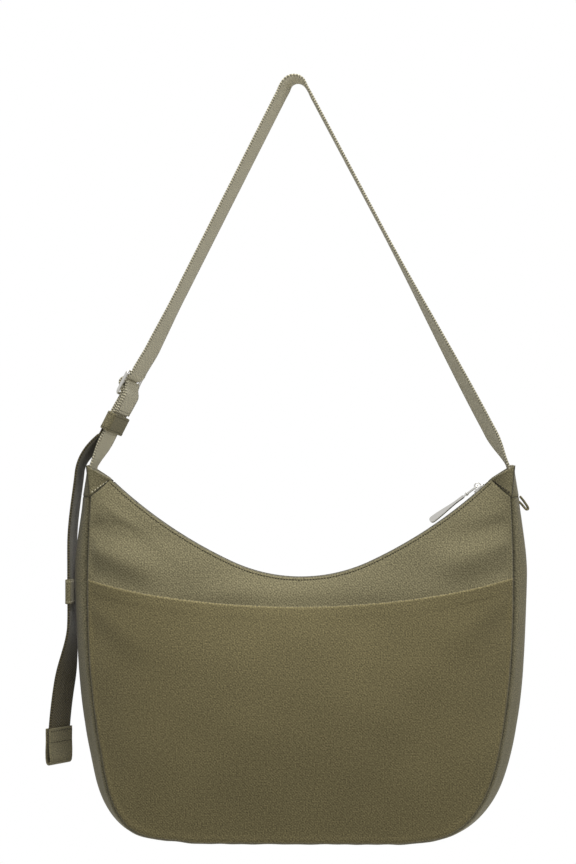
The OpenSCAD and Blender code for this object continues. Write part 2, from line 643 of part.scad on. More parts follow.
// a folded cloth tab over the cut end of the webbing
module tail_end_tab() {
    n = len(tail_curve) - 1;
    e = tail_curve[n];
    color(canvas) translate([e.x, 0, e.y]) rotate([0, 0, -tail_twist]) difference() {
        translate([0, 0, 6 - tail_tab_h / 2]) cube([6.4, web_w + 3.4, tail_tab_h], center = true);
        translate([0, 0, 3]) cube([web_t + 2, web_w + 1, 8], center = true);
    }
}
module tail_keeper() {
    color(canvas) translate([hang_x, 0, keeper2_z]) rotate([0, 0, -tail_lean])
        keeper(web_t + 2 * keeper_gap, web_w + 2, keeper_wall, keeper_h + 5);
}

front_panel();
back_panel();
gusset_panel();
front_pocket();
pocket_facing();
corner_patch_left();
corner_patch_right();
gusset_cap_left();
gusset_cap_right();
lining_front();
lining_back();
lining_gusset();
inner_pocket();
zip_tape_front();
zip_tape_back();
zip_coil_front();
zip_coil_back();
zip_stop_left();
zip_stop_right();
side_loop();
strap_end_left();
strap_end_right();
slider_body();
slider_bridge();
pull_link();
pull_tab();
main_strap();
strap_flex_left();
strap_flex_right();
anchor_webbing();
adjuster();
strap_keeper();
tail_flex();
tail_webbing();
tail_end_tab();
tail_keeper();
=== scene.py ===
"""The look of a canvas hobo bag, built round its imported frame.

The bag hangs from its strap. Millimetres are used for every shape and turned to metres when a mesh is made.
x runs to the bag's right-hand side, y towards its back and z up, from the inside of the strap's top bend.
"""
import math

import bpy
import numpy as np
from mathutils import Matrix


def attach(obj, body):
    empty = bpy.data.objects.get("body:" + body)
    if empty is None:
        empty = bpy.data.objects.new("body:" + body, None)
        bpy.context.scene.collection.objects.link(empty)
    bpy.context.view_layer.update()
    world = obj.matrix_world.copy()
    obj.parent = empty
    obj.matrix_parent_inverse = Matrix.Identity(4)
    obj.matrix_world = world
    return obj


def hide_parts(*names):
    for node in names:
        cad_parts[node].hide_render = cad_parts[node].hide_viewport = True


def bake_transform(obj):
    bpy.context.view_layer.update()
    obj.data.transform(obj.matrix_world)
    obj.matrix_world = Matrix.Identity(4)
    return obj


bl_info = {
    "name": "Canvas hobo bag",
    "version": (1, 0, 0),
    "blender": (4, 5, 0),
    "location": "3D View > Sidebar > Hobo bag",
    "description": "Builds a canvas hobo bag with a zip, a front pocket and a webbing strap",
    "category": "Object",
}

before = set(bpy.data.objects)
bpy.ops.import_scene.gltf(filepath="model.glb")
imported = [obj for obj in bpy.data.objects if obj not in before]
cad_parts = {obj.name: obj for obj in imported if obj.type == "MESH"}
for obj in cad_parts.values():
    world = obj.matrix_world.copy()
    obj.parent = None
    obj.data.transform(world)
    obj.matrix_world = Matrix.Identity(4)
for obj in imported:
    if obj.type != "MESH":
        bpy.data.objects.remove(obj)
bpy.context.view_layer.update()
MM = 0.001


# ---------- numbers and curves ----------
def smooth(t):
    """0 below 0, 1 above 1, and 3t^2 - 2t^3 between."""
    c = np.clip(t, 0.0, 1.0)
    return c * c * (3.0 - 2.0 * c)


def mix(a, b, t):
    """a at t = 0 and b at t = 1, along a straight line."""
    return a + (b - a) * t


def bump(distance, width):
    """A bell 1 high: e to the minus (distance / width) squared."""
    return np.exp(-((distance / width) ** 2))


def unit(v):
    """Vectors along the last axis, brought to length 1."""
    return v / np.maximum(np.linalg.norm(v, axis=-1, keepdims=True), 1e-9)


def bezier(points, count):
    """Cubic Bezier curve at count + 1 even parameters, ends included."""
    t = np.linspace(0.0, 1.0, count + 1)[:, None]
    a, b, c, d = (np.array(p, float) for p in points)
    return (1 - t) ** 3 * a + 3 * t * (1 - t) ** 2 * b + 3 * t * t * (1 - t) * c + t**3 * d


def run_lengths(points):
    """The length along a polyline at each of its points."""
    gaps = np.linalg.norm(np.diff(points, axis=0), axis=1)
    return np.concatenate([[0.0], np.cumsum(gaps)])


def spline(points, step):
    """Smooth curve through points: Hermite pieces whose slopes weigh the two nearest chords by length."""
    s = run_lengths(points[:, :3])
    h = np.diff(s)[:, None]
    chord = np.diff(points, axis=0) / h
    slope = np.concatenate([chord[:1], (chord[1:] * h[:-1] + chord[:-1] * h[1:]) / (h[1:] + h[:-1]),
                            chord[-1:]])
    q = np.linspace(0.0, s[-1], max(2, int(s[-1] / step)) + 1)
    i = np.clip(np.searchsorted(s, q, side="right") - 1, 0, len(s) - 2)
    w = h[i]
    t = (q - s[i])[:, None] / w
    return (
        (2 * t**3 - 3 * t**2 + 1) * points[i]
        + (t**3 - 2 * t**2 + t) * w * slope[i]
        + (3 * t**2 - 2 * t**3) * points[i + 1]
        + (t**3 - t**2) * w * slope[i + 1]
    )


# ---------- the bag's own sizes, in millimetres ----------
BODY_X = 4.0
HALF_W = 190.5
CORNER_Z = -347.0
BASE_Z = CORNER_Z - 333.4
BASE_D = 96.0
BASE_FLAT = 86.0
LEFT_FULL = 6.0
SEAM_Z = CORNER_Z - 28.3
MOUTH_Z = CORNER_Z - 12.3
SIDE_SWELL = 12.8
PANEL_BELLY = 26.0
CLOTH_T = 1.2
FIT = 0.3
MOUTH_HALF = 171.0
MOUTH_DIP = 88.0
MOUTH_LOW = MOUTH_Z - MOUTH_DIP
DIP_R = 147.0
DIP_ANGLE = math.radians(25.0)
MOUTH_GAP = 14.0
WEB_W = 30.0
WEB_T = 1.8
TOP_D = WEB_W / 2 + 2.0
POCKET_LOW = CORNER_Z - 125.0
POCKET_R = 745.0
POCKET_STAND = 8.0
LINING_T = 0.6
LINING_IN = CLOTH_T + 0.6
LINING_SAG = 1.6

# half of the seam's outline, right of the middle, from the corner patch down to the middle of the base
BASE_BEND = np.array([HALF_W - 74.5, BASE_Z + 3.2])
HALF_SEAM = np.concatenate([
    bezier([(HALF_W - 2, SEAM_Z), (HALF_W + 1.5, SEAM_Z - 62), (HALF_W + 1.5, BASE_Z + 166),
            (HALF_W - 9.5, BASE_Z + 104)], 70),
    bezier([(HALF_W - 9.5, BASE_Z + 104), (HALF_W - 18, BASE_Z + 47), (HALF_W - 34, BASE_Z + 10), BASE_BEND],
           60)[1:],
    bezier([BASE_BEND, mix(BASE_BEND, np.array([BASE_FLAT, BASE_Z]), 0.3), (BASE_FLAT + 9, BASE_Z),
            (BASE_FLAT, BASE_Z)], 40)[1:],
    np.array([[0.0, BASE_Z]]),
])
SEAM_S = run_lengths(HALF_SEAM)
SEAM_L = SEAM_S[-1]

# the mouth: a round dip between two flatter arcs
DIP_END = DIP_R * np.array([math.sin(DIP_ANGLE), 1 - math.cos(DIP_ANGLE)])
RISE = np.array([MOUTH_HALF, MOUTH_DIP]) - DIP_END
END_ANGLE = 2 * math.atan2(RISE[1], RISE[0]) - DIP_ANGLE
SIDE_R = np.linalg.norm(RISE) / 2 / math.sin((END_ANGLE - DIP_ANGLE) / 2)
DIP_L = DIP_R * DIP_ANGLE
MOUTH_L = DIP_L + SIDE_R * (END_ANGLE - DIP_ANGLE)
ARC_X = BODY_X - (SIDE_R - DIP_R) * math.sin(DIP_ANGLE)
ARC_Z = MOUTH_LOW + DIP_R + (SIDE_R - DIP_R) * math.cos(DIP_ANGLE)


def seam(u):
    """Seam point (x, z) for u from 0 at the left corner to 1 at the right one, by length along the outline.
    The lower left corner hangs fuller: it is moved out by a bump between half and three quarters of the way
    down."""
    e = 2 * np.minimum(u, 1 - u)
    x = np.interp(e * SEAM_L, SEAM_S, HALF_SEAM[:, 0])
    z = np.interp(e * SEAM_L, SEAM_S, HALF_SEAM[:, 1])
    full = LEFT_FULL * smooth((e - 0.5) / 0.16) * (1 - smooth((e - 0.66) / 0.1)) * (u < 0.5)
    return np.stack([BODY_X + np.where(u < 0.5, -x - 0.8 * full, x), z - 0.6 * full], axis=-1)


def seam_out(u):
    """Unit vector in the XZ plane out of the bag at the seam."""
    d = unit(seam(np.minimum(1, u + 0.004)) - seam(np.maximum(0, u - 0.004)))
    return np.stack([d[..., 1], -d[..., 0]], axis=-1)


def mouth(u, lower=0.0):
    """Mouth point (x, z) at u by length along the three arcs, moved out of the bag's mouth by minus lower."""
    s = np.abs(2 * u - 1) * MOUTH_L
    a = np.where(s < DIP_L, s / DIP_R, DIP_ANGLE + (s - DIP_L) / SIDE_R)
    dip = DIP_R * np.stack([np.sin(a), 1 - np.cos(a)], axis=-1)
    side = DIP_END + SIDE_R * np.stack([np.sin(a) - math.sin(DIP_ANGLE), math.cos(DIP_ANGLE) - np.cos(a)],
                                       axis=-1)
    q = np.where((s < DIP_L)[..., None], dip, side) + lower * np.stack([np.sin(a), -np.cos(a)], axis=-1)
    return np.stack([BODY_X + np.where(u < 0.5, -q[..., 0], q[..., 0]), MOUTH_LOW + q[..., 1]], axis=-1)


def edge_depth(u):
    """Half depth of the gusset: narrow at the corners, full from a third of the way down."""
    return mix(TOP_D, BASE_D / 2, smooth(np.minimum(u, 1 - u) / 0.36))


def swell(u):
    """How far the gusset stands out past the seam: most along the sides, nothing under the base, and never so
    far that it hangs below the base."""
    e = np.minimum(u, 1 - u)
    full = SIDE_SWELL * mix(0.6, 1.0, smooth(e / 0.08)) * (1 - smooth((e - 0.28) / 0.13))
    return np.minimum(full, (seam(u)[..., 1] - BASE_Z) / np.maximum(0.02, -seam_out(u)[..., 1]))


def panel_run(u):
    """Length of the panel from the mouth down to the seam at u."""
    return 1.02 * np.hypot(np.linalg.norm(seam(u) - mouth(u), axis=-1), edge_depth(u) - MOUTH_GAP / 2)


def panel_base(u, v):
    """Smooth panel at u across and v down: (x, z) on the line from mouth to seam, and the half depth there,
    which goes straight from the mouth's gap to the gusset's depth and bellies out by a sine both ways."""
    p = mix(mouth(u), seam(u), v[..., None])
    belly = PANEL_BELLY * np.sin(math.pi * v**0.85) * np.sin(math.pi * u) ** 0.7
    return p, mix(MOUTH_GAP / 2, edge_depth(u), v) + belly


# ---------- meshes ----------
def grid_faces(rows, cols, wrap=False):
    """Four-sided faces of a grid of rows by cols points; wrap joins the last column to the first."""
    i = np.arange(rows - 1)[:, None] * cols
    j = np.arange(cols if wrap else cols - 1)[None, :]
    k = (j + 1) % cols
    return np.stack([i + j, i + k, i + cols + k, i + cols + j], axis=-1).reshape(-1, 4)


def as_part(verts, faces, uv=None, crease=None):
    """One closed surface: points in millimetres, lists of face arrays, flat cloth coordinates and painted
    shade: seam shade above 0, painted highlight below 0.
    A surface whose signed volume is negative is turned right side out."""
    verts = np.asarray(verts, float).reshape(-1, 3)
    count = len(verts)
    uv = np.stack([verts[:, 0], verts[:, 2]], axis=1) if uv is None else np.asarray(uv, float).reshape(-1, 2)
    crease = np.zeros(count) if crease is None else np.asarray(crease, float).reshape(-1)
    volume = 0.0
    for f in faces:
        for k in range(1, f.shape[1] - 1):
            a, b, c = verts[f[:, 0]], verts[f[:, k]], verts[f[:, k + 1]]
            volume += np.einsum("ij,ij->", a - verts[0], np.cross(b - verts[0], c - verts[0]))
    if volume < 0:
        faces = [f[:, ::-1] for f in faces]
    return verts, faces, uv, crease


def shell(outer, inner, uv, crease=None, round_out=0.35):
    """Closed cloth between two grids, with a rounded raw edge: the rim's middle lies on the mean of both
    edges, pushed out along the grid by round_out of the cloth's thickness."""
    r, c = outer.shape[:2]
    index = np.arange(r * c).reshape(r, c)
    rim = np.concatenate([index[0, :-1], index[:-1, -1], index[-1, :0:-1], index[:0:-1, 0]])
    po, pi = outer.reshape(-1, 3), inner.reshape(-1, 3)
    inset = np.zeros((r, c), int)
    rr, cc = np.clip(np.arange(r), 1, r - 2), np.clip(np.arange(c), 1, c - 2)
    inset[:] = index[rr][:, cc]
    away = unit(po[rim] - po[inset.reshape(-1)[rim]])
    thick = np.linalg.norm(po[rim] - pi[rim], axis=1, keepdims=True)
    middle = (po[rim] + pi[rim]) / 2 + away * thick * round_out
    n, m = r * c, len(rim)
    ring = np.arange(m)
    nxt = (ring + 1) % m
    mid = 2 * n + ring
    faces = [
        grid_faces(r, c),
        n + grid_faces(r, c)[:, ::-1],
        np.stack([rim[nxt], rim, mid, mid[nxt]], axis=1),
        np.stack([mid[nxt], mid, n + rim, n + rim[nxt]], axis=1),
    ]
    flat = uv.reshape(-1, 2)
    painted_shading = np.zeros(n) if crease is None else crease.reshape(-1)
    return as_part(
        np.concatenate([po, pi, middle]), faces,
        np.concatenate([flat, flat, flat[rim]]), np.concatenate([painted_shading, painted_shading, painted_shading[rim]]),
    )


def sweep(path, side, up, section, closed=False, scale=None):
    """Carries a flat closed section of (side, up) points along a path. Open ends are shut by bands between
    the section's two halves. Flat coordinates are the section's side distance and the length run."""
    n, m = len(path), len(section)
    sec = np.broadcast_to(section, (n, m, 2)) if scale is None else section[None] * scale[:, None, :]
    v = path[:, None, :] + sec[..., :1] * side[:, None, :] + sec[..., 1:] * up[:, None, :]
    along = run_lengths(path)
    uv = np.stack([np.broadcast_to(sec[..., 0], (n, m)), np.broadcast_to(along[:, None], (n, m))], axis=-1)
    faces = [grid_faces(n, m, wrap=True)]
    if closed:
        k = np.arange(m)
        faces.append(np.stack([(n - 1) * m + k, (n - 1) * m + (k + 1) % m, (k + 1) % m, k], axis=1))
    else:
        k = np.arange(m // 2 - 1)
        cap = np.stack([k, m - 1 - k, m - 2 - k, k + 1], axis=1)
        faces += [cap, (n - 1) * m + cap[:, ::-1]]
    return as_part(v, faces, uv)


def round_section(half_side, half_up, corner, flats=5, turns=4):
    """Rounded rectangle of (side, up) points, starting at the side's end and running round."""
    t = np.linspace(0, math.pi / 2, turns + 1)
    cx, cy = half_side - corner, half_up - corner
    arcs = [np.stack([sx * cx + corner * np.cos(t + a), sy * cy + corner * np.sin(t + a)], axis=1)
            for sx, sy, a in ((1, 1, 0), (-1, 1, math.pi / 2), (-1, -1, math.pi), (1, -1, 3 * math.pi / 2))]
    out = []
    for i in range(4):
        out.append(arcs[i])
        w = np.linspace(0, 1, flats + 2)[1:-1, None]
        out.append(mix(arcs[i][-1], arcs[(i + 1) % 4][0], w))
    pts = np.concatenate(out)
    start = int(np.argmax(pts[:, 0] - 0.01 * np.abs(pts[:, 1])))
    return np.roll(pts, -start, axis=0)


def plate(outline, low, high, bevel, origin, x_way, y_way, z_way):
    """Flat plate from a star-shaped outline: rings set in by the bevel at both faces, shut by fans to the
    middle."""
    middle = outline.mean(axis=0)
    way = unit(outline - middle)
    levels = [(low, bevel), (low + bevel * 0.3, bevel * 0.3), (low + bevel, 0), (high - bevel, 0),
              (high - bevel * 0.3, bevel * 0.3), (high, bevel)]
    m = len(outline)
    rings = np.stack([np.concatenate([outline - way * inset, np.full((m, 1), z)], axis=1)
                      for z, inset in levels])
    flat = np.concatenate([rings.reshape(-1, 3), [[*middle, low], [*middle, high]]])
    k = np.arange(m)
    nxt = (k + 1) % m
    last = (len(levels) - 1) * m
    faces = [
        grid_faces(len(levels), m, wrap=True),
        np.stack([nxt, k, np.full(m, len(flat) - 2)], axis=1),
        np.stack([last + k, last + nxt, np.full(m, len(flat) - 1)], axis=1),
    ]
    world = origin + flat[:, :1] * x_way + flat[:, 1:2] * y_way + flat[:, 2:] * z_way
    return as_part(world, faces, flat[:, :2])


def repeated(rings, faces, spots, ways):
    """Copies of one small closed shape: its points times each spot's three ways, plus the spot."""
    count = len(rings)
    v = np.einsum("pk,skx->spx", rings, ways) + spots[:, None, :]
    start = (np.arange(len(spots)) * count)[:, None, None]
    return as_part(v.reshape(-1, 3), [(start + f[None]).reshape(-1, f.shape[1]) for f in faces])


def capsule(length, width, height, sides=6):
    """Small rounded bar along its first axis: rings scaled by a half ellipse, closed by fans."""
    xs = np.array([-0.46, -0.3, 0.0, 0.3, 0.46])
    a = np.arange(sides) / sides * 2 * math.pi
    r = np.sqrt(np.maximum(0.0, 1 - (xs * 1.9) ** 2)) * 0.5
    rings = np.stack([np.broadcast_to(xs[:, None] * length, (5, sides)), r[:, None] * np.cos(a) * width,
                      r[:, None] * np.sin(a) * height], axis=-1)
    v = np.concatenate([rings.reshape(-1, 3), [[-length / 2, 0, 0], [length / 2, 0, 0]]])
    k = np.arange(sides)
    nxt = (k + 1) % sides
    n = len(v)
    return v, [
        grid_faces(5, sides, wrap=True),
        np.stack([nxt, k, np.full(sides, n - 2)], axis=1),
        np.stack([4 * sides + k, 4 * sides + nxt, np.full(sides, n - 1)], axis=1),
    ]


def stitch_row(points, outs, pitch, thread=0.8, sunk=-0.05):
    """A row of stitches along a curve: one capsule for each pitch of length, lying across the way out."""
    s = run_lengths(points)
    count = max(2, int(s[-1] / pitch))
    q = (np.arange(count) + 0.5) / count * s[-1]
    spots = np.stack([np.interp(q, s, points[:, k]) for k in range(3)], axis=1)
    out = unit(np.stack([np.interp(q, s, outs[:, k]) for k in range(3)], axis=1))
    ahead = np.stack([np.interp(q + 0.3, s, points[:, k]) - np.interp(q - 0.3, s, points[:, k])
                      for k in range(3)], axis=1)
    ahead = unit(ahead)
    across = unit(np.cross(out, ahead))
    v, faces = capsule(pitch * 0.55, thread, thread * 0.8)
    return repeated(v, faces, spots - out * sunk, np.stack([ahead, across, np.cross(ahead, across)], axis=1))


def make_piece(name, parts, material, body=None, nodes=(), bend=None):
    """Turns parts into one mesh object in metres, with a flat-cloth UV map in metres and an attribute of
    painted seam shade and painted highlight, gives it its finish, and parents it to the body it rides on;
    a piece given bend only has its placement baked in, and what bend names is not used."""
    verts = np.concatenate([p[0] for p in parts]) * MM
    faces, start = [], 0
    for v, fs, _, _ in parts:
        faces += [f + start for f in fs]
        start += len(v)
    mesh = bpy.data.meshes.new(name)
    mesh.vertices.add(len(verts))
    mesh.vertices.foreach_set("co", verts.astype(np.float32).ravel())
    loops = np.concatenate([f.ravel() for f in faces])
    sizes = np.concatenate([np.full(len(f), f.shape[1]) for f in faces])
    mesh.loops.add(len(loops))
    mesh.loops.foreach_set("vertex_index", loops.astype(np.int32))
    mesh.polygons.add(len(sizes))
    mesh.polygons.foreach_set("loop_start", np.concatenate([[0], np.cumsum(sizes)[:-1]]).astype(np.int32))
    mesh.polygons.foreach_set("use_smooth", np.ones(len(sizes), bool))
    mesh.update(calc_edges=True)
    mesh.validate()
    flat = np.concatenate([p[2] for p in parts]) * MM
    layer = mesh.uv_layers.new(name="cloth")
    index = np.empty(len(mesh.loops), np.int32)
    mesh.loops.foreach_get("vertex_index", index)
    layer.data.foreach_set("uv", flat[index].astype(np.float32).ravel())
    # painted shade per point: the canvas is painted darker in seams, and lighter, a painted highlight, where
    # the value is below 0
    crease = mesh.attributes.new("crease", "FLOAT", "POINT")
    crease.data.foreach_set("value", np.concatenate([p[3] for p in parts]).astype(np.float32))
    mesh.materials.append(material)
    piece = bpy.data.objects.new(name, mesh)
    bpy.context.scene.collection.objects.link(piece)
    if bend:
        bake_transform(piece)
    else:
        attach(piece, body)
    if nodes:
        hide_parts(*nodes)
    return piece


# ---------- materials ----------
def linear(code):
    """sRGB hex to a linear red, green and blue."""
    rgb = [((code >> shift) & 255) / 255 for shift in (16, 8, 0)]
    return tuple(c / 12.92 if c <= 0.04045 else ((c + 0.055) / 1.055) ** 2.4 for c in rgb)


def add_node(tree, kind, settings=None, inputs=None, links=None):
    """Adds a node, sets its properties and input values, and links other nodes' outputs into its inputs."""
    made = tree.nodes.new("ShaderNode" + kind)
    for key, value in (settings or {}).items():
        setattr(made, key, value)
    for key, value in (inputs or {}).items():
        made.inputs[key].default_value = value
    for key, (source, output) in (links or {}).items():
        tree.links.new(source.outputs[output], made.inputs[key])
    return made


def new_material(name):
    """An empty material with its shader and output, and the shader to fill."""
    material = bpy.data.materials.new(name)
    material.use_nodes = True
    tree = material.node_tree
    return material, tree, tree.nodes["Principled BSDF"]


def three_tones(tree, base, dark, light, source):
    """Colour ramp driven by source: the base colour times dark, the base colour itself and the base times
    light."""
    ramp = add_node(tree, "ValToRGB", {}, {}, {"Fac": (source, 0)})
    ramp.color_ramp.elements.new(0.5)
    for element, factor in zip(ramp.color_ramp.elements, (dark, 1.0, light)):
        element.color = tuple(min(1.0, c * factor) for c in base) + (1.0,)
    return ramp


def cotton(shader, roughness=0.9, sheen=0.22):
    """Cotton yarn scatters light: rough, hardly glossy, with a soft bloom at grazing angles."""
    shader.inputs["Roughness"].default_value = roughness
    shader.inputs["Specular IOR Level"].default_value = 0.25
    shader.inputs["Sheen Weight"].default_value = sheen
    shader.inputs["Sheen Roughness"].default_value = 0.5


def canvas_twill(name, base, twill_mm=1.9, fleck_mm=0.9):
    """Cotton canvas in a fine twill. Its threads are about 0.4 mm apart, too fine to show, so the twill
    lines are drawn 1.9 mm apart and the yarn's flecks 0.9 mm across. Deep in a seam the cloth is painted
    darker, a painted seam shade, and where the painted shade attribute is below 0, under the mouth's edge
    and the pocket's hem, it is painted lighter, a painted highlight."""
    material, tree, shader = new_material(name)
    uv = add_node(tree, "UVMap", {"uv_map": "cloth"})
    twill = add_node(tree, "TexWave", {"wave_type": "BANDS", "bands_direction": "DIAGONAL"},
                     {"Scale": 0.4443 / (twill_mm * MM), "Distortion": 2.2, "Detail": 1.5,
                      "Detail Scale": 2.5},
                     {"Vector": (uv, "UV")})
    fleck = add_node(tree, "TexNoise", {}, {"Scale": 0.7 / (fleck_mm * MM), "Detail": 2.0, "Roughness": 0.8},
                     {"Vector": (uv, "UV")})
    cloud = add_node(tree, "TexNoise", {}, {"Scale": 1 / (70 * MM), "Detail": 2.0}, {"Vector": (uv, "UV")})
    woven = add_node(tree, "Math", {"operation": "MULTIPLY_ADD"}, {1: 0.07},
                     {0: (twill, "Fac"), 2: (fleck, 0)})
    tone = add_node(tree, "Math", {"operation": "MULTIPLY_ADD"}, {1: 0.07}, {0: (cloud, 0), 2: (woven, 0)})
    spread = add_node(tree, "MapRange", {}, {"From Min": 0.4, "From Max": 0.74}, {"Value": (tone, 0)})
    ramp = three_tones(tree, base, 0.46, 1.7, spread)
    # painted shade and highlight: the colour is scaled down in seams and up where the attribute is below 0
    crease = add_node(tree, "Attribute", {"attribute_name": "crease"})
    shade = add_node(tree, "Math", {"operation": "MULTIPLY_ADD"}, {1: -0.86, 2: 1.0}, {0: (crease, "Fac")})
    painted_shading = add_node(tree, "VectorMath", {"operation": "SCALE"}, {}, {0: (ramp, "Color"), "Scale": (shade, 0)})
    relief = add_node(tree, "Bump", {}, {"Strength": 0.5, "Distance": 0.3 * MM}, {"Height": (woven, 0)})
    tree.links.new(painted_shading.outputs[0], shader.inputs["Base Color"])
    tree.links.new(relief.outputs["Normal"], shader.inputs["Normal"])
    cotton(shader)
    return material


def herringbone_webbing(name, base, half_width_mm=15.0, rib_mm=2.6, chevron_mm=7.5):
    """Cotton webbing woven as herringbone: ribs slant one way and then the other across the width, and a
    plain selvedge with dark picks runs along each edge. Ribs are drawn 2.6 mm apart, about twice the real
    spacing."""
    material, tree, shader = new_material(name)
    uv = add_node(tree, "UVMap", {"uv_map": "cloth"})
    axes = add_node(tree, "SeparateXYZ", {}, {}, {0: (uv, "UV")})
    zigzag = add_node(tree, "Math", {"operation": "PINGPONG"}, {1: chevron_mm * MM}, {0: (axes, "X")})
    slant = add_node(tree, "Math", {"operation": "MULTIPLY_ADD"}, {1: 0.8}, {0: (zigzag, 0), 2: (axes, "Y")})
    turns = add_node(tree, "Math", {"operation": "MULTIPLY"}, {1: 2 * math.pi / (rib_mm * MM)},
                     {0: (slant, 0)})
    rib = add_node(tree, "Math", {"operation": "SINE"}, {}, {0: (turns, 0)})
    edge = add_node(tree, "Math", {"operation": "ABSOLUTE"}, {}, {0: (axes, "X")})
    selvedge = add_node(tree, "MapRange", {},
                        {"From Min": (half_width_mm - 2.2) * MM, "From Max": (half_width_mm - 1.4) * MM},
                        {"Value": (edge, 0)})
    picks = add_node(tree, "Math", {"operation": "MULTIPLY"}, {1: 2 * math.pi / (2.4 * MM)}, {0: (axes, "Y")})
    pick = add_node(tree, "Math", {"operation": "SINE"}, {}, {0: (picks, 0)})
    dark_pick = add_node(tree, "Math", {"operation": "MULTIPLY_ADD"}, {1: 1.7, 2: -0.9}, {0: (pick, 0)})
    woven = add_node(tree, "Mix", {"data_type": "FLOAT"}, {},
                     {0: (selvedge, 0), 2: (rib, 0), 3: (dark_pick, 0)})
    yarn = add_node(tree, "TexNoise", {}, {"Scale": 1 / (1.2 * MM), "Detail": 2.0, "Roughness": 0.65},
                    {"Vector": (uv, "UV")})
    tone = add_node(tree, "Math", {"operation": "MULTIPLY_ADD"}, {1: 0.24}, {0: (woven, 0), 2: (yarn, 0)})
    spread = add_node(tree, "MapRange", {}, {"From Min": 0.15, "From Max": 0.85}, {"Value": (tone, 0)})
    ramp = three_tones(tree, base, 0.42, 1.4, spread)
    height = add_node(tree, "Math", {"operation": "MULTIPLY_ADD"}, {1: 0.4}, {0: (woven, 0), 2: (yarn, 0)})
    relief = add_node(tree, "Bump", {}, {"Strength": 0.7, "Distance": 0.4 * MM}, {"Height": (height, 0)})
    tree.links.new(ramp.outputs["Color"], shader.inputs["Base Color"])
    tree.links.new(relief.outputs["Normal"], shader.inputs["Normal"])
    cotton(shader, 0.85, 0.3)
    return material


def plain_weave(name, base, thread_mm=0.9):
    """Plain-woven cloth: two sets of threads that cross, drawn 0.9 mm apart, about three times the real
    spacing."""
    material, tree, shader = new_material(name)
    uv = add_node(tree, "UVMap", {"uv_map": "cloth"})
    weave = [add_node(tree, "TexWave", {"bands_direction": way},
                      {"Scale": 0.31416 / (thread_mm * MM), "Distortion": 0.8}, {"Vector": (uv, "UV")})
             for way in ("X", "Y")]
    both = add_node(tree, "Math", {"operation": "MULTIPLY"}, {}, {0: (weave[0], "Fac"), 1: (weave[1], "Fac")})
    yarn = add_node(tree, "TexNoise", {}, {"Scale": 1 / (2.2 * MM), "Detail": 2.0}, {"Vector": (uv, "UV")})
    tone = add_node(tree, "Math", {"operation": "MULTIPLY_ADD"}, {1: 0.4}, {0: (both, 0), 2: (yarn, 0)})
    spread = add_node(tree, "MapRange", {}, {"From Min": 0.3, "From Max": 0.8}, {"Value": (tone, 0)})
    ramp = three_tones(tree, base, 0.65, 1.2, spread)
    relief = add_node(tree, "Bump", {}, {"Strength": 0.5, "Distance": 0.2 * MM}, {"Height": (both, 0)})
    tree.links.new(ramp.outputs["Color"], shader.inputs["Base Color"])
    tree.links.new(relief.outputs["Normal"], shader.inputs["Normal"])
    cotton(shader, 0.85, 0.15)
    return material


def spun_thread(name, base):
    """Spun polyester sewing thread: two plies that twist together, drawn as lines 0.7 mm apart, with a
    faint gloss."""
    material, tree, shader = new_material(name)
    place = add_node(tree, "TexCoord")
    ply = add_node(tree, "TexWave", {"bands_direction": "DIAGONAL"},
                   {"Scale": 0.4443 / (0.7 * MM), "Distortion": 0.5}, {"Vector": (place, "Object")})
    ramp = three_tones(tree, base, 0.6, 1.1, ply)
    relief = add_node(tree, "Bump", {}, {"Strength": 0.4, "Distance": 0.1 * MM}, {"Height": (ply, "Fac")})
    tree.links.new(ramp.outputs["Color"], shader.inputs["Base Color"])
    tree.links.new(relief.outputs["Normal"], shader.inputs["Normal"])
    cotton(shader, 0.6, 0.1)
    return material


def moulded_polyester(name, base):
    """Moulded polyester monofilament of the zip's coil: smooth and semi-matt, with slightly uneven dye."""
    material, tree, shader = new_material(name)
    place = add_node(tree, "TexCoord")
    dye = add_node(tree, "TexNoise", {}, {"Scale": 1 / (3 * MM), "Detail": 2.0},
                   {"Vector": (place, "Object")})
    ramp = three_tones(tree, base, 0.8, 1.2, dye)
    tree.links.new(ramp.outputs["Color"], shader.inputs["Base Color"])
    shader.inputs["Roughness"].default_value = 0.45
    shader.inputs["IOR"].default_value = 1.58
    return material


def polished_nickel(name, base):
    """Nickel plate over a zinc casting, barrel polished: bright and smooth, with a faint uneven haze."""
    material, tree, shader = new_material(name)
    place = add_node(tree, "TexCoord")
    haze = add_node(tree, "TexNoise", {}, {"Scale": 1 / (9 * MM), "Detail": 2.0},
                    {"Vector": (place, "Object")})
    rough = add_node(tree, "MapRange", {}, {"From Min": 0.3, "From Max": 0.7, "To Min": 0.09, "To Max": 0.16},
                     {"Value": (haze, 0)})
    ramp = three_tones(tree, base, 0.94, 1.04, haze)
    tree.links.new(ramp.outputs["Color"], shader.inputs["Base Color"])
    tree.links.new(rough.outputs[0], shader.inputs["Roughness"])
    shader.inputs["Metallic"].default_value = 1.0
    return material


def painted_board(name, base):
    """Matt painted studio board: pale, with a slight roller texture about 6 mm across."""
    material, tree, shader = new_material(name)
    place = add_node(tree, "TexCoord")
    roller = add_node(tree, "TexNoise", {}, {"Scale": 1 / (6 * MM), "Detail": 2.0},
                      {"Vector": (place, "Object")})
    relief = add_node(tree, "Bump", {}, {"Strength": 0.1, "Distance": 0.2 * MM}, {"Height": (roller, 0)})
    tree.links.new(relief.outputs["Normal"], shader.inputs["Normal"])
    shader.inputs["Base Color"].default_value = (*base, 1.0)
    shader.inputs["Roughness"].default_value = 0.8
    return material


FINISHES = {}


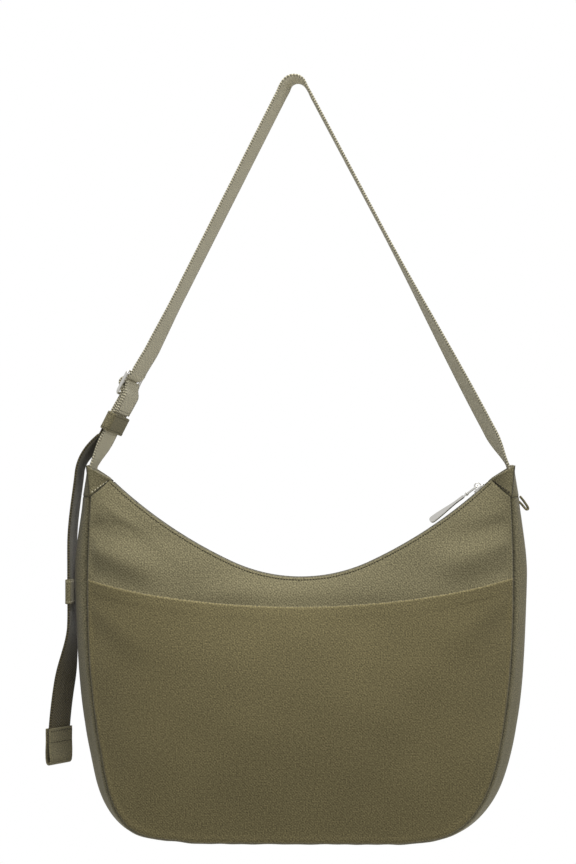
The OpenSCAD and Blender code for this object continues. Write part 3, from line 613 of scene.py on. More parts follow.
def finish_of(key):
    """The material of that name, made from the scene's colours when it is first asked for."""
    makers = {
        "canvas": (canvas_twill, "olive_canvas_twill"),
        # the same canvas, darkened as painted shade for the pocket
        "pocket_canvas_painted_shade": (canvas_twill, "olive_canvas_twill_deeper_lot"),
        "webbing": (herringbone_webbing, "cotton_herringbone_webbing"),
        "webbing_painted_shade": (herringbone_webbing, "cotton_webbing_reverse_face"),
        # the same webbing, darkened as painted shade for the hanging tail
        "lining": (plain_weave, "plain_cotton_lining"),
        "tape": (plain_weave, "woven_zip_tape"),
        "coil": (moulded_polyester, "polyester_zip_coil"),
        "nickel": (polished_nickel, "polished_nickel_plate"),
        # real sewing thread, darkened to stand for the shade in its needle holes: partly painted shade
        "thread": (spun_thread, "dark_olive_sewing_thread"),
        # the same thread, lightened as a painted highlight
        "thread_painted_highlight": (spun_thread, "pale_olive_sewing_thread"),
        "board": (painted_board, "painted_studio_board"),
    }
    if key not in FINISHES:
        maker, name = makers[key]
        FINISHES[key] = maker(name, tuple(getattr(bpy.context.scene.hobo_colours, key)))
    return FINISHES[key]


# ---------- folds ----------
# each fold: start and end (x, z) in millimetres, height (a hollow is negative) and half width
FRONT_FOLDS = np.array([
    (-186, -409, -174, -396, -2.4, 2.8), (-186, -400, -112, -416, -2.6, 9.0),
    (-186, -420, -110, -446, 3.0, 10.0), (-186, -440, -120, -466, -1.8, 11.0),
    (-184, -452, -110, -486, 1.6, 12.0), (-172, -382, -90, -440, 1.2, 6.0),
    (192, -396, 120, -418, -2.2, 9.0), (194, -414, 118, -440, 2.6, 10.0), (195, -436, 130, -462, -1.8, 11.0),
    (190, -452, 120, -480, 1.6, 12.0), (-70, -458, 100, -459, 1.3, 10.0), (-110, -474, 130, -474, -1.2, 8.0),
])
BACK_FOLDS = np.concatenate([FRONT_FOLDS * np.array([1, 1, 1, 1, 0.8, 1.15]), np.array([
    (-150, -520, 40, -560, 0.9, 26.0), (160, -500, 20, -590, -0.9, 24.0), (-170, -480, -120, -640, 0.8, 20.0),
    (186, -520, 110, -636, 0.9, 18.0)])])
POCKET_FOLDS = np.array([
    (-184, -470, -120, -520, 0.9, 9.0), (-186, -488, -130, -545, -0.7, 12.0),
    (190, -462, 130, -510, 0.9, 10.0),
    (192, -480, 140, -545, -0.7, 13.0), (-150, -600, -60, -650, 0.6, 24.0), (160, -600, 80, -650, 0.7, 22.0),
    (-60, -500, -40, -610, 0.5, 30.0), (70, -510, 60, -620, -0.5, 28.0),
])


def folds_at(p, folds):
    """Sum of soft ridges: each a bell across its line, fading to nothing at both ends of it."""
    total = np.zeros(p.shape[:-1])
    for x0, z0, x1, z1, high, wide in folds:
        line = np.array([x1 - x0, z1 - z0])
        length = np.linalg.norm(line)
        way = line / length
        rel = p - np.array([x0, z0])
        along = rel @ way / length
        off = rel @ np.array([-way[1], way[0]])
        ends = smooth((along + 0.15) / 0.3) * smooth((1.1 - along) / 0.5)
        total += high * bump(off, wide * (0.6 + 0.8 * np.clip(along, 0, 1))) * ends
    return total


def drape(p, phase):
    """The cloth's slow unevenness: three crossed sines 40 to 110 mm long, half a millimetre high."""
    x, z = p[..., 0], p[..., 1]
    long, crossed = np.sin(x / 17.5 + z / 31 + phase), np.sin(x / 9.3 - z / 12.1 + 2.1 * phase)
    return 0.3 * long + 0.28 * crossed + 0.2 * np.sin(z / 7.7 + x / 23 + 0.7 * phase)


def pucker(s, phase):
    """How the seam's thread gathers the cloth: uneven short waves along the seam."""
    return np.sin(s / 3.4 + 1.3 * np.sin(s / 21 + phase)) * 0.5 + 0.5 * np.sin(s / 7.9 + phase)


# ---------- panels and pocket ----------
SEAM_INSET = 1.5
TOP_STITCH = 2.4
EDGE_THREAD = 1.05
PANEL_ROLL, POCKET_ROLL, GUSSET_ROLL = 2.2, 2.4, 1.9  # how deep each cloth's edge rolls in at the seam
PANEL_HOLLOW, POCKET_HOLLOW = -2.2, -0.6  # the deepest that a fold may sink
HEM = 13.0
FACING_T = 0.8


def panel_face(u, v, folds, phase):
    """Outer face of a panel as (x, half depth, z), and its painted shade: dark in the seams, at the corner
    ends and along the mouth's edge, and below 0, a painted highlight in a band under the mouth's stitches.
    The smooth panel gets a doubled, rounded edge at the mouth with a stitched line under it, rolls in at the
    gusset and at the corner patches, and has folds, unevenness and puckers between."""
    p, y = panel_base(u, v)
    run = panel_run(u)
    top, low = v * run, (1 - v) * run
    end = np.minimum(u, 1 - u) * mix(2 * MOUTH_L, 2 * SEAM_L, v)
    free = smooth(top / 12) * smooth(low / 16) * smooth(end / 12)
    y = y + np.maximum(folds_at(p, folds) + drape(p, phase), PANEL_HOLLOW) * free
    y = y + 0.5 * smooth((TOP_STITCH - top) / 0.8) - 0.9 * bump(top, 0.8) - 0.25 * bump(top - TOP_STITCH, 0.6)
    y = y - PANEL_ROLL * bump(low, 1.3) + 0.6 * bump(low - 4.5, 2.6)
    y = y + 0.2 * pucker(u * 2 * SEAM_L, phase) * bump(low - 4, 3.5)
    y = y - 0.5 * bump(end, 0.8) + 0.4 * bump(end - 3, 2.0)
    p = p - seam_out(u) * (SEAM_INSET * bump(low, 1.0))[..., None]
    # painted shade at the seam, the corner ends and the mouth's edge; the negative band under the mouth's
    # stitches is a painted highlight
    crease = np.maximum.reduce([bump(low, 1.5), 0.6 * bump(end, 0.7), 0.5 * bump(top, 0.45),
                                -0.35 * bump(top - 3.6, 1.5)])
    return np.stack([p[..., 0], y, p[..., 1]], axis=-1), crease


def faced(points, side, inward=0.0):
    """Puts (x, half depth, z) on the front, side -1, or the back, side 1, moved inward by some of the
    thickness."""
    return points * np.array([1.0, side, 1.0]) - np.array([0.0, side * inward, 0.0])


def panel_rows(run, count=58):
    """Share down the panel for each row: close rows at both edges, even ones between, for lines of length
    run."""
    top = np.array([0, 0.3, 0.6, 0.9, 1.3, 1.7, 2.1, 2.6, 3.4, 6.0])
    low = np.array([14, 11, 9, 7.2, 5.8, 4.6, 3.6, 2.8, 2.1, 1.5, 1.0, 0.6, 0.3, 0.0])
    t = np.linspace(0, 1, count + 2)[1:-1]
    run = run[:, None]
    return np.concatenate([np.broadcast_to(top, (len(run), len(top))), mix(6.0, run - 14, t[None]),
                           run - low[None]], axis=1) / run


def panel_columns(count=230):
    """Share across for each column, closer at the two corner patches."""
    near = np.array([0, 0.8, 1.7, 2.8, 4.2, 6.5]) / (2 * SEAM_L)
    return np.concatenate([near, np.linspace(0.0095, 0.9905, count), 1 - near[::-1]])


def pocket_height(x):
    """Height of the pocket's edge at x: an arc of a wide circle."""
    dx = x - BODY_X + 4
    return POCKET_LOW + POCKET_R - np.sqrt(POCKET_R**2 - dx**2)


def pocket_start(u):
    """The v at which the line from mouth to seam meets the pocket's edge, by halving."""
    low, high = np.zeros_like(u), np.ones_like(u)
    for _ in range(22):
        middle = (low + high) / 2
        p = mix(mouth(u), seam(u), middle[..., None])
        above = p[..., 1] > pocket_height(p[..., 0])
        low, high = np.where(above, middle, low), np.where(above, high, middle)
    return (low + high) / 2


def pocket_limit(right):
    """First u from a corner whose line reaches the pocket's edge at 97 hundredths of the way down."""
    low, high = 0.0, 0.4
    for _ in range(22):
        middle = (low + high) / 2
        u = np.array([1 - middle if right else middle])
        if pocket_start(u)[0] > 0.97:
            low = middle
        else:
            high = middle
    return 1 - low if right else low


POCKET_U0, POCKET_U1 = pocket_limit(False), pocket_limit(True)


def pocket_face(w, s):
    """Outer face of the pocket at w across and s down from its edge, as (x, half depth, z), with its painted
    shade: dark at its seam, and below 0, a painted highlight just under its hem's top. It follows the panel,
    stands off most in the middle of its edge, and has a turned hem with a rounded top."""
    u = mix(POCKET_U0, POCKET_U1, w)
    v0 = pocket_start(u)
    v = mix(v0, 1.0, s)
    p, y = panel_base(u, v)
    run = panel_run(u)
    low, top = (1 - v) * run, (v - v0) * run
    side = np.minimum(w, 1 - w) * 700
    y = y + FIT + CLOTH_T + POCKET_STAND * (1 - s) ** 1.5 * np.sin(math.pi * np.clip(w, 0, 1)) ** 0.6
    free = smooth(top / 16) * smooth(low / 16) * smooth(side / 10)
    y = y + (np.maximum(folds_at(p, POCKET_FOLDS), POCKET_HOLLOW) + 0.6 * drape(p, 4.0)) * free
    y = y + 0.35 * smooth((HEM - top) / 2.5) - 0.8 * bump(top, 0.6)
    y = y - POCKET_ROLL * bump(low, 1.6) + 0.8 * bump(low - 5, 2.6)
    y = y + 0.25 * pucker(u * 2 * SEAM_L, 1.7) * bump(low - 4, 3.5)
    p = p - seam_out(u) * (SEAM_INSET * bump(low, 1.0))[..., None]
    # painted shade at the seam, and a painted highlight just under the hem's top
    return np.stack([p[..., 0], y, p[..., 1]], axis=-1), bump(low, 1.5) - 0.35 * bump(top - 0.5, 0.7)


def flat_cloth(points):
    """Flat coordinates of a front or back panel: its x and z."""
    return points[..., [0, 2]]


def outward(points, toward):
    """Unit normals of a grid of points two rows deep, turned to the side of the vector toward."""
    n = unit(np.cross(np.gradient(points[0], axis=0), points[1] - points[0]))
    return n * np.sign((n @ np.array(toward, float))[:, None])


def build_panels(sizes):
    """Front and back panels, the row of stitches under their edges, and the pocket with its facing."""
    columns = panel_columns()
    rows = panel_rows(panel_run(columns))
    u = np.broadcast_to(columns[:, None], rows.shape)
    for name, side, folds, phase in (("front_panel_cloth", -1, FRONT_FOLDS, 0.6),
                                     ("back_panel_cloth", 1, BACK_FOLDS, 3.3)):
        face, crease = panel_face(u, rows, folds, phase)
        make_piece(name, [shell(faced(face, side), faced(face, side, CLOTH_T), flat_cloth(face), crease)],
                   finish_of("canvas"), "bag", ("front_panel" if side < 0 else "back_panel",))
        line = np.linspace(0.006, 0.994, 900)

        def at(t, line=line, folds=folds, phase=phase, side=side):
            return faced(panel_face(line, t / panel_run(line), folds, phase)[0], side)

        way = outward(np.stack([at(TOP_STITCH), at(TOP_STITCH + 0.5)]), (0, side, 0.0))
        row = stitch_row(at(TOP_STITCH), way, sizes.edge_pitch / MM, EDGE_THREAD, -0.15)
        make_piece(name.replace("cloth", "stitches"), [row], finish_of("thread"), "bag")


def build_pocket():
    """The full-width front pocket and the facing turned in behind its edge."""
    w = np.concatenate([[0, 0.0015, 0.004], np.linspace(0.008, 0.992, 200), [0.996, 0.9985, 1.0]])
    u = mix(POCKET_U0, POCKET_U1, w)
    run = (panel_run(u) * (1 - pocket_start(u)))[:, None]
    top = np.array([0, 0.3, 0.7, 1.3, 2.2, 3.5])
    low = np.array([12, 9.5, 7.5, 5.8, 4.4, 3.2, 2.3, 1.6, 1.0, 0.5, 0.0])
    t = np.linspace(0, 1, 64)[1:-1]
    fit = np.minimum(1.0, run / 20.0)
    rows = np.concatenate([top * fit, mix(3.5 * fit, run - 12 * fit, t[None]), run - low * fit], axis=1) / run
    face, crease = pocket_face(np.broadcast_to(w[:, None], rows.shape), rows)
    # the pocket's canvas is the same canvas with a darker colour: painted shade
    make_piece("front_pocket_cloth",
               [shell(faced(face, -1), faced(face, -1, CLOTH_T), flat_cloth(face), crease)],
               finish_of("pocket_canvas_painted_shade"), "bag", ("front_pocket",))
    w = mix(0.07, 0.93, np.linspace(0, 1, 120))
    u = mix(POCKET_U0, POCKET_U1, w)
    run = panel_run(u) * (1 - pocket_start(u))
    rows = mix(0.8, 15.0, np.linspace(0, 1, 8))[None] / run[:, None]
    face, _ = pocket_face(np.broadcast_to(w[:, None], rows.shape), rows)
    behind = CLOTH_T + FIT
    make_piece("pocket_facing_cloth",
               [shell(faced(face, -1, behind), faced(face, -1, behind + FACING_T), flat_cloth(face))],
               finish_of("canvas"), "bag", ("pocket_facing",))


# ---------- gusset ----------
def gusset_face(u, k, margin, inward=0.0, plain=False):
    """Gusset point at u along the seam and k across from -1 to 1: the seam, moved out by the swell times the
    cosine of k's quarter turn. Both edges roll in to meet the panels."""
    half = edge_depth(u) - CLOTH_T - margin
    out = swell(u) * np.cos(math.pi / 2 * k) - inward
    edge = (1 - np.abs(k)) * half
    if not plain:
        s = u * 2 * SEAM_L
        end = np.minimum(u, 1 - u) * 2 * SEAM_L
        out = out - GUSSET_ROLL * bump(edge, 1.5) + 0.5 * bump(edge - 5, 3.0) - 0.5 * bump(end, 0.8)
        out = out + 0.3 * pucker(s, 2.2 + k) * bump(edge - 4, 4.0)
        out = out + 0.5 * np.sin(s / 26 + 2 * k) * np.cos(math.pi / 2 * k) * smooth(end / 20)
    q = seam(u) + seam_out(u) * out[..., None]
    # painted seam shade along both edges and at the corner ends
    crease = np.maximum(bump(edge, 1.7), 0.8 * bump(np.minimum(u, 1 - u) * 2 * SEAM_L, 0.7))
    return np.stack([q[..., 0], k * half, q[..., 1]], axis=-1), crease


def build_gusset():
    """The gusset between the two panels."""
    columns = panel_columns(300)
    across = np.concatenate([[-1, -0.985, -0.965, -0.94, -0.91, -0.87], np.linspace(-0.82, 0.82, 25),
                             [0.87, 0.91, 0.94, 0.965, 0.985, 1]])
    u, k = np.meshgrid(columns, across, indexing="ij")
    outer, crease = gusset_face(u, k, FIT)
    inner, _ = gusset_face(u, k, FIT, CLOTH_T)
    uv = np.stack([u * 2 * SEAM_L, outer[..., 1]], axis=-1)
    make_piece("gusset_cloth", [shell(outer, inner, uv, crease)], finish_of("canvas"), "bag",
               ("gusset_panel",))


# ---------- corners ----------
CAP_H = 28.0
PATCH_STITCH, PATCH_THREAD = 0.085, 1.3


def corner_line(side):
    """Seam end, mouth end and outermost tip of a corner in the XZ plane, and the lift off the diagonal
    seam."""
    u = np.array([0.0 if side < 0 else 1.0])
    d, c, a = seam(u)[0], mouth(u)[0], np.array([BODY_X + side * (HALF_W + 1), CORNER_Z])
    up = unit(c - d)
    lift = 0.4 * np.array([up[1] * side, -up[0] * side])
    return d, c, a, lift if lift @ (a - d) > 0 else -lift


def patch_face(side, k, m):
    """Corner patch at k from the diagonal seam up to the top, and m from the side seam in to the mouth's
    end."""
    d, c, a, lift = corner_line(side)
    edge = mix(d, a, k[..., None])
    far = mix(mix(d, c, 0.93), c, k[..., None])
    p = mix(edge, far, m[..., None]) + lift
    y = mix(TOP_D, MOUTH_GAP / 2 + 0.5, m**1.3) + 3 * np.sin(math.pi * m) * k
    up_run, side_run = k * np.linalg.norm(a - d), m * mix(24.0, 16.0, k)
    y = y - 0.5 * bump(up_run, 0.8) + 0.4 * bump(up_run - 3.0, 2.2)
    y = y - 1.2 * bump(side_run, 1.0) + 0.4 * bump(side_run - 4, 2.0)
    # painted seam shade along the diagonal seam and the side seam
    crease = np.maximum(0.5 * bump(up_run, 0.5), 0.9 * bump(side_run, 0.8))
    return np.stack([p[..., 0], y, p[..., 1]], axis=-1), crease


def patch_top(side, m, w):
    """Cloth folded over from the front patch to the back one: an arch between their top edges, w from -1 to
    1."""
    one = np.ones_like(m)
    edge, _ = patch_face(side, one, m)
    half = edge[..., 1] - 0.5
    rise = 1.2 * np.cos(math.pi / 2 * w) * smooth(m / 0.3)
    return np.stack([edge[..., 0], w * half, edge[..., 2] - 0.7 + rise], axis=-1)


def build_corners(sizes):
    """At each corner: the front and back patches, the fold between them, the gusset's cap and the
    stitches."""
    for side, word in ((-1, "left"), (1, "right")):
        ks = np.concatenate([[0, 0.02, 0.05, 0.09, 0.14, 0.2], np.linspace(0.26, 1, 20)])
        ms = np.concatenate([[0, 0.03, 0.07, 0.12, 0.18, 0.25], np.linspace(0.33, 1, 16)])
        k, m = np.meshgrid(ks, ms, indexing="ij")
        face, crease = patch_face(side, k, m)
        parts = [shell(faced(face, y), faced(face, y, CLOTH_T), flat_cloth(face), crease) for y in (-1, 1)]
        m, w = np.meshgrid(np.linspace(0.24, 1.0, 16), np.linspace(-1, 1, 17), indexing="ij")
        top = patch_top(side, m, w)
        parts.append(shell(top, top - np.array([0, 0, CLOTH_T]), top[..., :2]))
        make_piece(f"corner_{word}_cloth", parts, finish_of("canvas"), "bag",
                   (f"corner_patch_{word}",))
        line = np.linspace(0.1, 0.93, 60)
        rows = []
        for y in (-1, 1):
            def at(k, y=y):
                return faced(patch_face(side, np.full_like(line, k), line)[0], y)
            way = outward(np.stack([at(PATCH_STITCH), at(PATCH_STITCH + 0.02)]), (0, y, 0))
            rows.append(stitch_row(at(PATCH_STITCH), way, sizes.patch_pitch / MM, PATCH_THREAD, -0.3))
        # the left corner gets the painted-highlight thread, the right one the darker thread: painted light
        # and shade on one thread
        make_piece(f"corner_{word}_stitches", rows, finish_of("thread_painted_highlight" if side < 0 else "thread"),
                   "bag")
        k, m = np.meshgrid(np.concatenate([[0, 0.02, 0.05, 0.09, 0.15], np.linspace(0.22, 1, 16)]),
                           np.linspace(-1, 1, 33), indexing="ij")
        d, _, a, _ = corner_line(side)
        u = np.full_like(k, 0.0 if side < 0 else 1.0)
        half = TOP_D - CLOTH_T - FIT
        walls = []
        for inward in (0.0, CLOTH_T):
            run, edge = k * CAP_H, (1 - np.abs(m)) * half
            out = swell(u) * (1 - k) * np.cos(math.pi / 2 * m) - inward
            out = out - 0.5 * bump(run, 0.8) - 1.2 * bump(edge, 1.2)
            q = mix(d, a, k[..., None]) + np.stack([side * out, (1 - k) * 0.4], axis=-1)
            walls.append(np.stack([q[..., 0], m * half, q[..., 1]], axis=-1))
        # painted seam shade at the cap's seam and along both its edges
        crease = np.maximum(0.6 * bump(k * CAP_H, 0.5), 0.9 * bump((1 - np.abs(m)) * half, 1.0))
        make_piece(f"gusset_cap_{word}_cloth", [shell(walls[0], walls[1], walls[0][..., 1:], crease)],
                   finish_of("canvas"), "bag", (f"gusset_cap_{word}",))


# ---------- lining ----------
GUSSET_LINING_IN = LINING_IN + 0.6
SLIP_ACROSS, SLIP_DOWN = (9 / 24, 15 / 24), (2 / 7, 5 / 7)


def lining_face(i, j, inward=0.0):
    """Lining point at i and j from 0 to 1: the panel a little inside its edges, moved inward."""
    u = mix(0.03, 0.97, i)
    last = 1 - 7 / np.linalg.norm(seam(u) - mouth(u), axis=-1)
    p, y = panel_base(u, mix(0.05, last, j))
    return np.stack([p[..., 0], y - LINING_IN - LINING_SAG - inward, p[..., 1]], axis=-1)


def build_lining():
    """Front, back and gusset lining, and the open slip pocket on the back lining."""
    i, j = np.meshgrid(np.linspace(0, 1, 97), np.linspace(0, 1, 30), indexing="ij")
    face = lining_face(i, j)
    for word, side in (("front", -1), ("back", 1)):
        make_piece(f"lining_{word}_cloth",
                   [shell(faced(face, side), faced(face, side, LINING_T), flat_cloth(face))],
                   finish_of("lining"), "bag", (f"lining_{word}",))
    u, k = np.meshgrid(np.linspace(0.035, 0.965, 160), np.linspace(-1, 1, 17), indexing="ij")
    outer, _ = gusset_face(u, k, 5.0, GUSSET_LINING_IN, plain=True)
    inner, _ = gusset_face(u, k, 5.0, GUSSET_LINING_IN + LINING_T, plain=True)
    uv = np.stack([u * 2 * SEAM_L, outer[..., 1]], axis=-1)
    make_piece("lining_gusset_cloth", [shell(outer, inner, uv)],
               finish_of("lining"), "bag", ("lining_gusset",))
    i, j = np.meshgrid(np.linspace(*SLIP_ACROSS, 33), np.linspace(*SLIP_DOWN, 25), indexing="ij")
    face = lining_face(i, j, LINING_T + FIT)
    make_piece("inner_pocket_cloth", [shell(faced(face, 1), faced(face, 1, LINING_T), flat_cloth(face))],
               finish_of("lining"), "bag", ("inner_pocket",))


# ---------- zip ----------
ZIP_DROP = 0.6
ZIP_START, STOP_START = 0.012, 0.009  # shares of the mouth from its ends to the tapes and to the stops
TAPE_IN, CORD_IN, COIL_IN = 4.45, 2.9, 1.55  # from the zip's middle line to each tape, corded edge and coil
TOOTH = (3.6, 0.85, 1.7)  # across, along and thick


def mouth_path(count, lower):
    """Points, the way along, and the way out of the mouth, along a line that far below the mouth's edge."""
    u = np.linspace(ZIP_START, 1 - ZIP_START, count)
    p = mouth(u, lower)
    path = np.stack([p[:, 0], np.zeros(count), p[:, 1]], axis=1)
    ahead = unit(np.gradient(path, axis=0))
    return path, ahead, np.cross(ahead, np.array([0.0, 1.0, 0.0])) * -1.0


def build_zip(sizes):
    """Zip tapes with a corded edge, the two coils tooth by tooth, and the end stops."""
    path, ahead, up = mouth_path(420, ZIP_DROP)
    up = up * np.sign(up[:, 2:])
    across = np.broadcast_to(np.array([0.0, 1.0, 0.0]), path.shape)
    section = round_section(1.2, 0.4, 0.35, 4, 3)
    for word, side in (("front", -1), ("back", 1)):
        middle = path + across * side * TAPE_IN
        make_piece(f"zip_tape_{word}_cloth", [sweep(middle, across, up, section)], finish_of("tape"),
                   "bag", (f"zip_tape_{word}",))
        core = path + across * side * CORD_IN
        cord = sweep(core, across, up, round_section(0.35, 0.35, 0.3, 1, 2))
        s = run_lengths(path)
        pitch = sizes.coil_pitch / MM
        q = (np.arange(int(s[-1] / pitch)) + (0.25 if side < 0 else 0.75)) * pitch
        spots = np.stack([np.interp(q, s, (path + across * side * COIL_IN)[:, k]) for k in range(3)], axis=1)
        ways = [np.stack([np.interp(q, s, w[:, k]) for k in range(3)], axis=1) for w in (across, ahead, up)]
        tooth, faces = capsule(*TOOTH)
        teeth = repeated(tooth, faces, spots, np.stack(ways, axis=1))
        make_piece(f"zip_coil_{word}_teeth", [cord, teeth], finish_of("coil"), "bag",
                   (f"zip_coil_{word}",))
    for word, u in (("left", STOP_START), ("right", 1 - STOP_START)):
        p = mouth(np.array([u]), ZIP_DROP)[0]
        turn = END_ANGLE if word == "right" else -END_ANGLE
        x_way = np.array([math.cos(turn), 0.0, math.sin(turn)])
        z_way = np.array([-math.sin(turn), 0.0, math.cos(turn)])
        part = plate(round_section(0.7, 3.5, 0.6, 3, 4), -1.5, 1.6, 0.45, np.array([p[0], 0.0, p[1]]), x_way,
                     np.array([0.0, 1.0, 0.0]), z_way)
        make_piece(f"zip_stop_{word}_clamp", [part], finish_of("nickel"), "bag",
                   (f"zip_stop_{word}",))


# ---------- slider and pull ----------
SLIDER_BACK = 13.0
SLIDER_ANGLE = END_ANGLE - SLIDER_BACK / SIDE_R
SLIDER_AT = np.array([ARC_X + SIDE_R * math.sin(SLIDER_ANGLE), 0.0, ARC_Z - SIDE_R * math.cos(SLIDER_ANGLE)])
ALONG = np.array([math.cos(SLIDER_ANGLE), 0.0, math.sin(SLIDER_ANGLE)])
OUT = np.array([-math.sin(SLIDER_ANGLE), 0.0, math.cos(SLIDER_ANGLE)])
Y_WAY = np.array([0.0, 1.0, 0.0])
CHANNEL_TOP, CHANNEL_LOW, PLATE_T = 0.9, -2.1, 1.2
ROOF = CHANNEL_TOP + PLATE_T
PIVOT_UP = ROOF + 1.6
PULL_LIFT = math.radians(5.0)
LINK_LEN, TAB_LEN, TAB_T = 12.0, 41.0, 1.6
TAB_TILT = math.radians(38.0)
BARREL_R, WIRE_R = 1.32, 0.8
TAB_NECK_HALF, TAB_END_HALF = 1.6, 4.0
LINK_X = math.cos(PULL_LIFT) * ALONG - math.sin(PULL_LIFT) * OUT
LINK_Z = math.sin(PULL_LIFT) * ALONG + math.cos(PULL_LIFT) * OUT
LINK_AT = SLIDER_AT + PIVOT_UP * OUT
TAB_AT = LINK_AT - LINK_LEN * LINK_X


def slider_outline(count=64):
    """Outline of the slider's plates: a rounded box, wide at the shoulders and drawn in towards its back
    end."""
    a = np.arange(count) / count * 2 * math.pi
    x = 5.9 * np.sign(np.cos(a)) * np.abs(np.cos(a)) ** 0.55
    y = 4.6 * np.sign(np.sin(a)) * np.abs(np.sin(a)) ** 0.55 * (0.86 + 0.14 * smooth((x + 5) / 8))
    return np.stack([x, y], axis=1)


def build_slider():
    """Slider body: two plates with side flanges and a wedge between, and the arched bridge over it."""
    shape = slider_outline()
    place = (SLIDER_AT, ALONG, Y_WAY, OUT)
    parts = [plate(shape, CHANNEL_TOP, ROOF, 0.4, *place),
             plate(shape, CHANNEL_LOW - PLATE_T, CHANNEL_LOW, 0.4, *place)]
    for s in (-1, 1):
        bar = round_section(4.4, 0.4, 0.3, 3, 3) + np.array([-0.6, s * 3.85])
        parts += [plate(bar, 0.15, CHANNEL_TOP + 0.3, 0.15, *place),
                  plate(bar, CHANNEL_LOW - 0.3, CHANNEL_LOW + 0.7, 0.15, *place)]
    parts.append(plate(round_section(1.5, 0.45, 0.3, 2, 3) + np.array([4.1, 0]), CHANNEL_LOW - 0.1,
                       CHANNEL_TOP + 0.1, 0.1, *place))
    make_piece("slider_body_casting", parts, finish_of("nickel"), "slider",
               ("slider_body",))
    a = np.linspace(0, math.pi, 40)
    x, z = -3.1 * np.cos(a), ROOF - 0.3 + 4.5 * np.sin(a) ** 0.75
    path = SLIDER_AT + x[:, None] * ALONG + z[:, None] * OUT
    ahead = unit(np.gradient(path, axis=0))
    side = np.broadcast_to(Y_WAY, path.shape)
    arch = sweep(path, side, np.cross(ahead, side), round_section(1.1, 0.5, 0.4, 3, 3))
    make_piece("slider_bridge_arch", [arch], finish_of("nickel"), "slider",
               ("slider_bridge",))


def build_pull():
    """The wire link and the slim paddle hung from it, with a barrel, a waist and a wide round end."""
    loop = round_section(LINK_LEN / 2, 2.6, 1.4, 6, 6) + np.array([-LINK_LEN / 2, 0])
    path = LINK_AT + loop[:, :1] * LINK_X + loop[:, 1:] * Y_WAY
    ahead = unit(np.roll(path, -1, axis=0) - np.roll(path, 1, axis=0))
    up = np.broadcast_to(LINK_Z, path.shape)
    link = sweep(path, np.cross(ahead, up), up, round_section(WIRE_R, WIRE_R, WIRE_R - 0.01, 0, 4),
                 closed=True)
    make_piece("pull_link_wire", [link], finish_of("nickel"), "pull_link", ("pull_link",))
    a = np.linspace(0, 2 * math.pi, 40, endpoint=False)
    ring = TAB_AT + BARREL_R * (np.cos(a)[:, None] * LINK_X + np.sin(a)[:, None] * LINK_Z)
    away = unit(ring - TAB_AT)
    barrel = sweep(ring, np.broadcast_to(Y_WAY, ring.shape), away, round_section(1.6, 0.4, 0.25, 3, 3),
                   closed=True)
    neck = plate(round_section(1.7, 1.5, 0.5, 3, 3), -0.8, 0.8, 0.2, TAB_AT - 2.9 * LINK_X, LINK_X, Y_WAY,
                 LINK_Z)
    face_y = math.cos(TAB_TILT) * Y_WAY + math.sin(TAB_TILT) * LINK_Z
    face_z = -math.sin(TAB_TILT) * Y_WAY + math.cos(TAB_TILT) * LINK_Z
    near, far = -3.0, -TAB_LEN
    t = 0.5 - 0.5 * np.cos(np.linspace(0, math.pi, 90))
    x = mix(near, far, t)
    half = mix(TAB_NECK_HALF, TAB_END_HALF, smooth((t - 0.15) / 0.8)) - 0.25 * bump(t - 0.3, 0.2)
    half = half * np.sqrt(np.clip(1 - np.clip((t - 0.905) / 0.0955, 0, 1) ** 2.2, 0.0004, 1))
    half = half * np.sqrt(np.clip(t / 0.02, 0.02, 1))
    thick = TAB_T / 2 * np.clip(half / 1.2, 0.05, 1) ** 0.5
    path = TAB_AT + x[:, None] * LINK_X
    section = round_section(1.0, 1.0, 0.28, 6, 4)
    paddle = sweep(path, np.broadcast_to(face_y, path.shape), np.broadcast_to(face_z, path.shape), section,
                   scale=np.stack([half, thick], axis=1))
    make_piece("pull_tab_paddle", [barrel, neck, paddle], finish_of("nickel"), "pull_tab",
               ("pull_tab",))


# ---------- strap ----------
PEG_R = 9.0
WEB_R = PEG_R + WEB_T / 2
PEG_Z = -PEG_R
STRAP_HALF = HALF_W - 4.0
KEEPER_LOW, KEEPER_H = 34.0, 17.0
TWIST_FOOT, TWIST_LEFT, TWIST_RIGHT, TWIST_TOP = (math.radians(a) for a in (7.0, 19.0, 17.0, 14.0))
KEEPER_WALL = 1.2
ADJUSTER_UP, BAR_STEP, BAR_R, ADJUSTER_SLACK, ADJUSTER_CORNER = 80.0, 11.0, 1.4, 3.0, 3.2
FRAME_OUT = 4.0
LOOP_R = BAR_R + 0.15 + WEB_T / 2
OVER_R = LOOP_R + WEB_T + 0.15
UNDER = FRAME_OUT - LOOP_R
STRAP_TOP, STRAP_LOW = ADJUSTER_UP + BAR_STEP, ADJUSTER_UP - BAR_STEP
DIVE = 1.2
TAIL_UP, TAIL_OUT, TAIL_LEN, TAIL_TWIST = 28.0, WEB_T + 0.6, 268.0, math.radians(31.0)
TAIL_SPLIT = 47.5
TAIL_KEEPER_DROP, TAIL_KEEPER_MORE = 113.0, 5.0
FLAP_EDGE = 12.5
TAIL_LEAN = math.radians(8.0)


def foot(side):
    """Where a leg of the strap meets the bag, in the XZ plane."""
    return np.array([BODY_X + side * STRAP_HALF, CORNER_Z])


def touch(side):
    """Angle from +x at which a leg meets the curve over the peg, in radians."""
    v = foot(side) - np.array([0, PEG_Z])
    turn = 2 * math.pi if side < 0 else 0
    return math.atan2(v[1], v[0]) + side * math.acos(WEB_R / np.linalg.norm(v)) + turn


def peg_point(a):
    """Point of the strap's middle over the peg."""
    return np.array([0, PEG_Z]) + WEB_R * np.array([math.cos(a), math.sin(a)])


LEG_LEN = {s: np.linalg.norm(peg_point(touch(s)) - foot(s)) for s in (-1, 1)}
LEG_WAY = {s: (peg_point(touch(s)) - foot(s)) / LEG_LEN[s] for s in (-1, 1)}


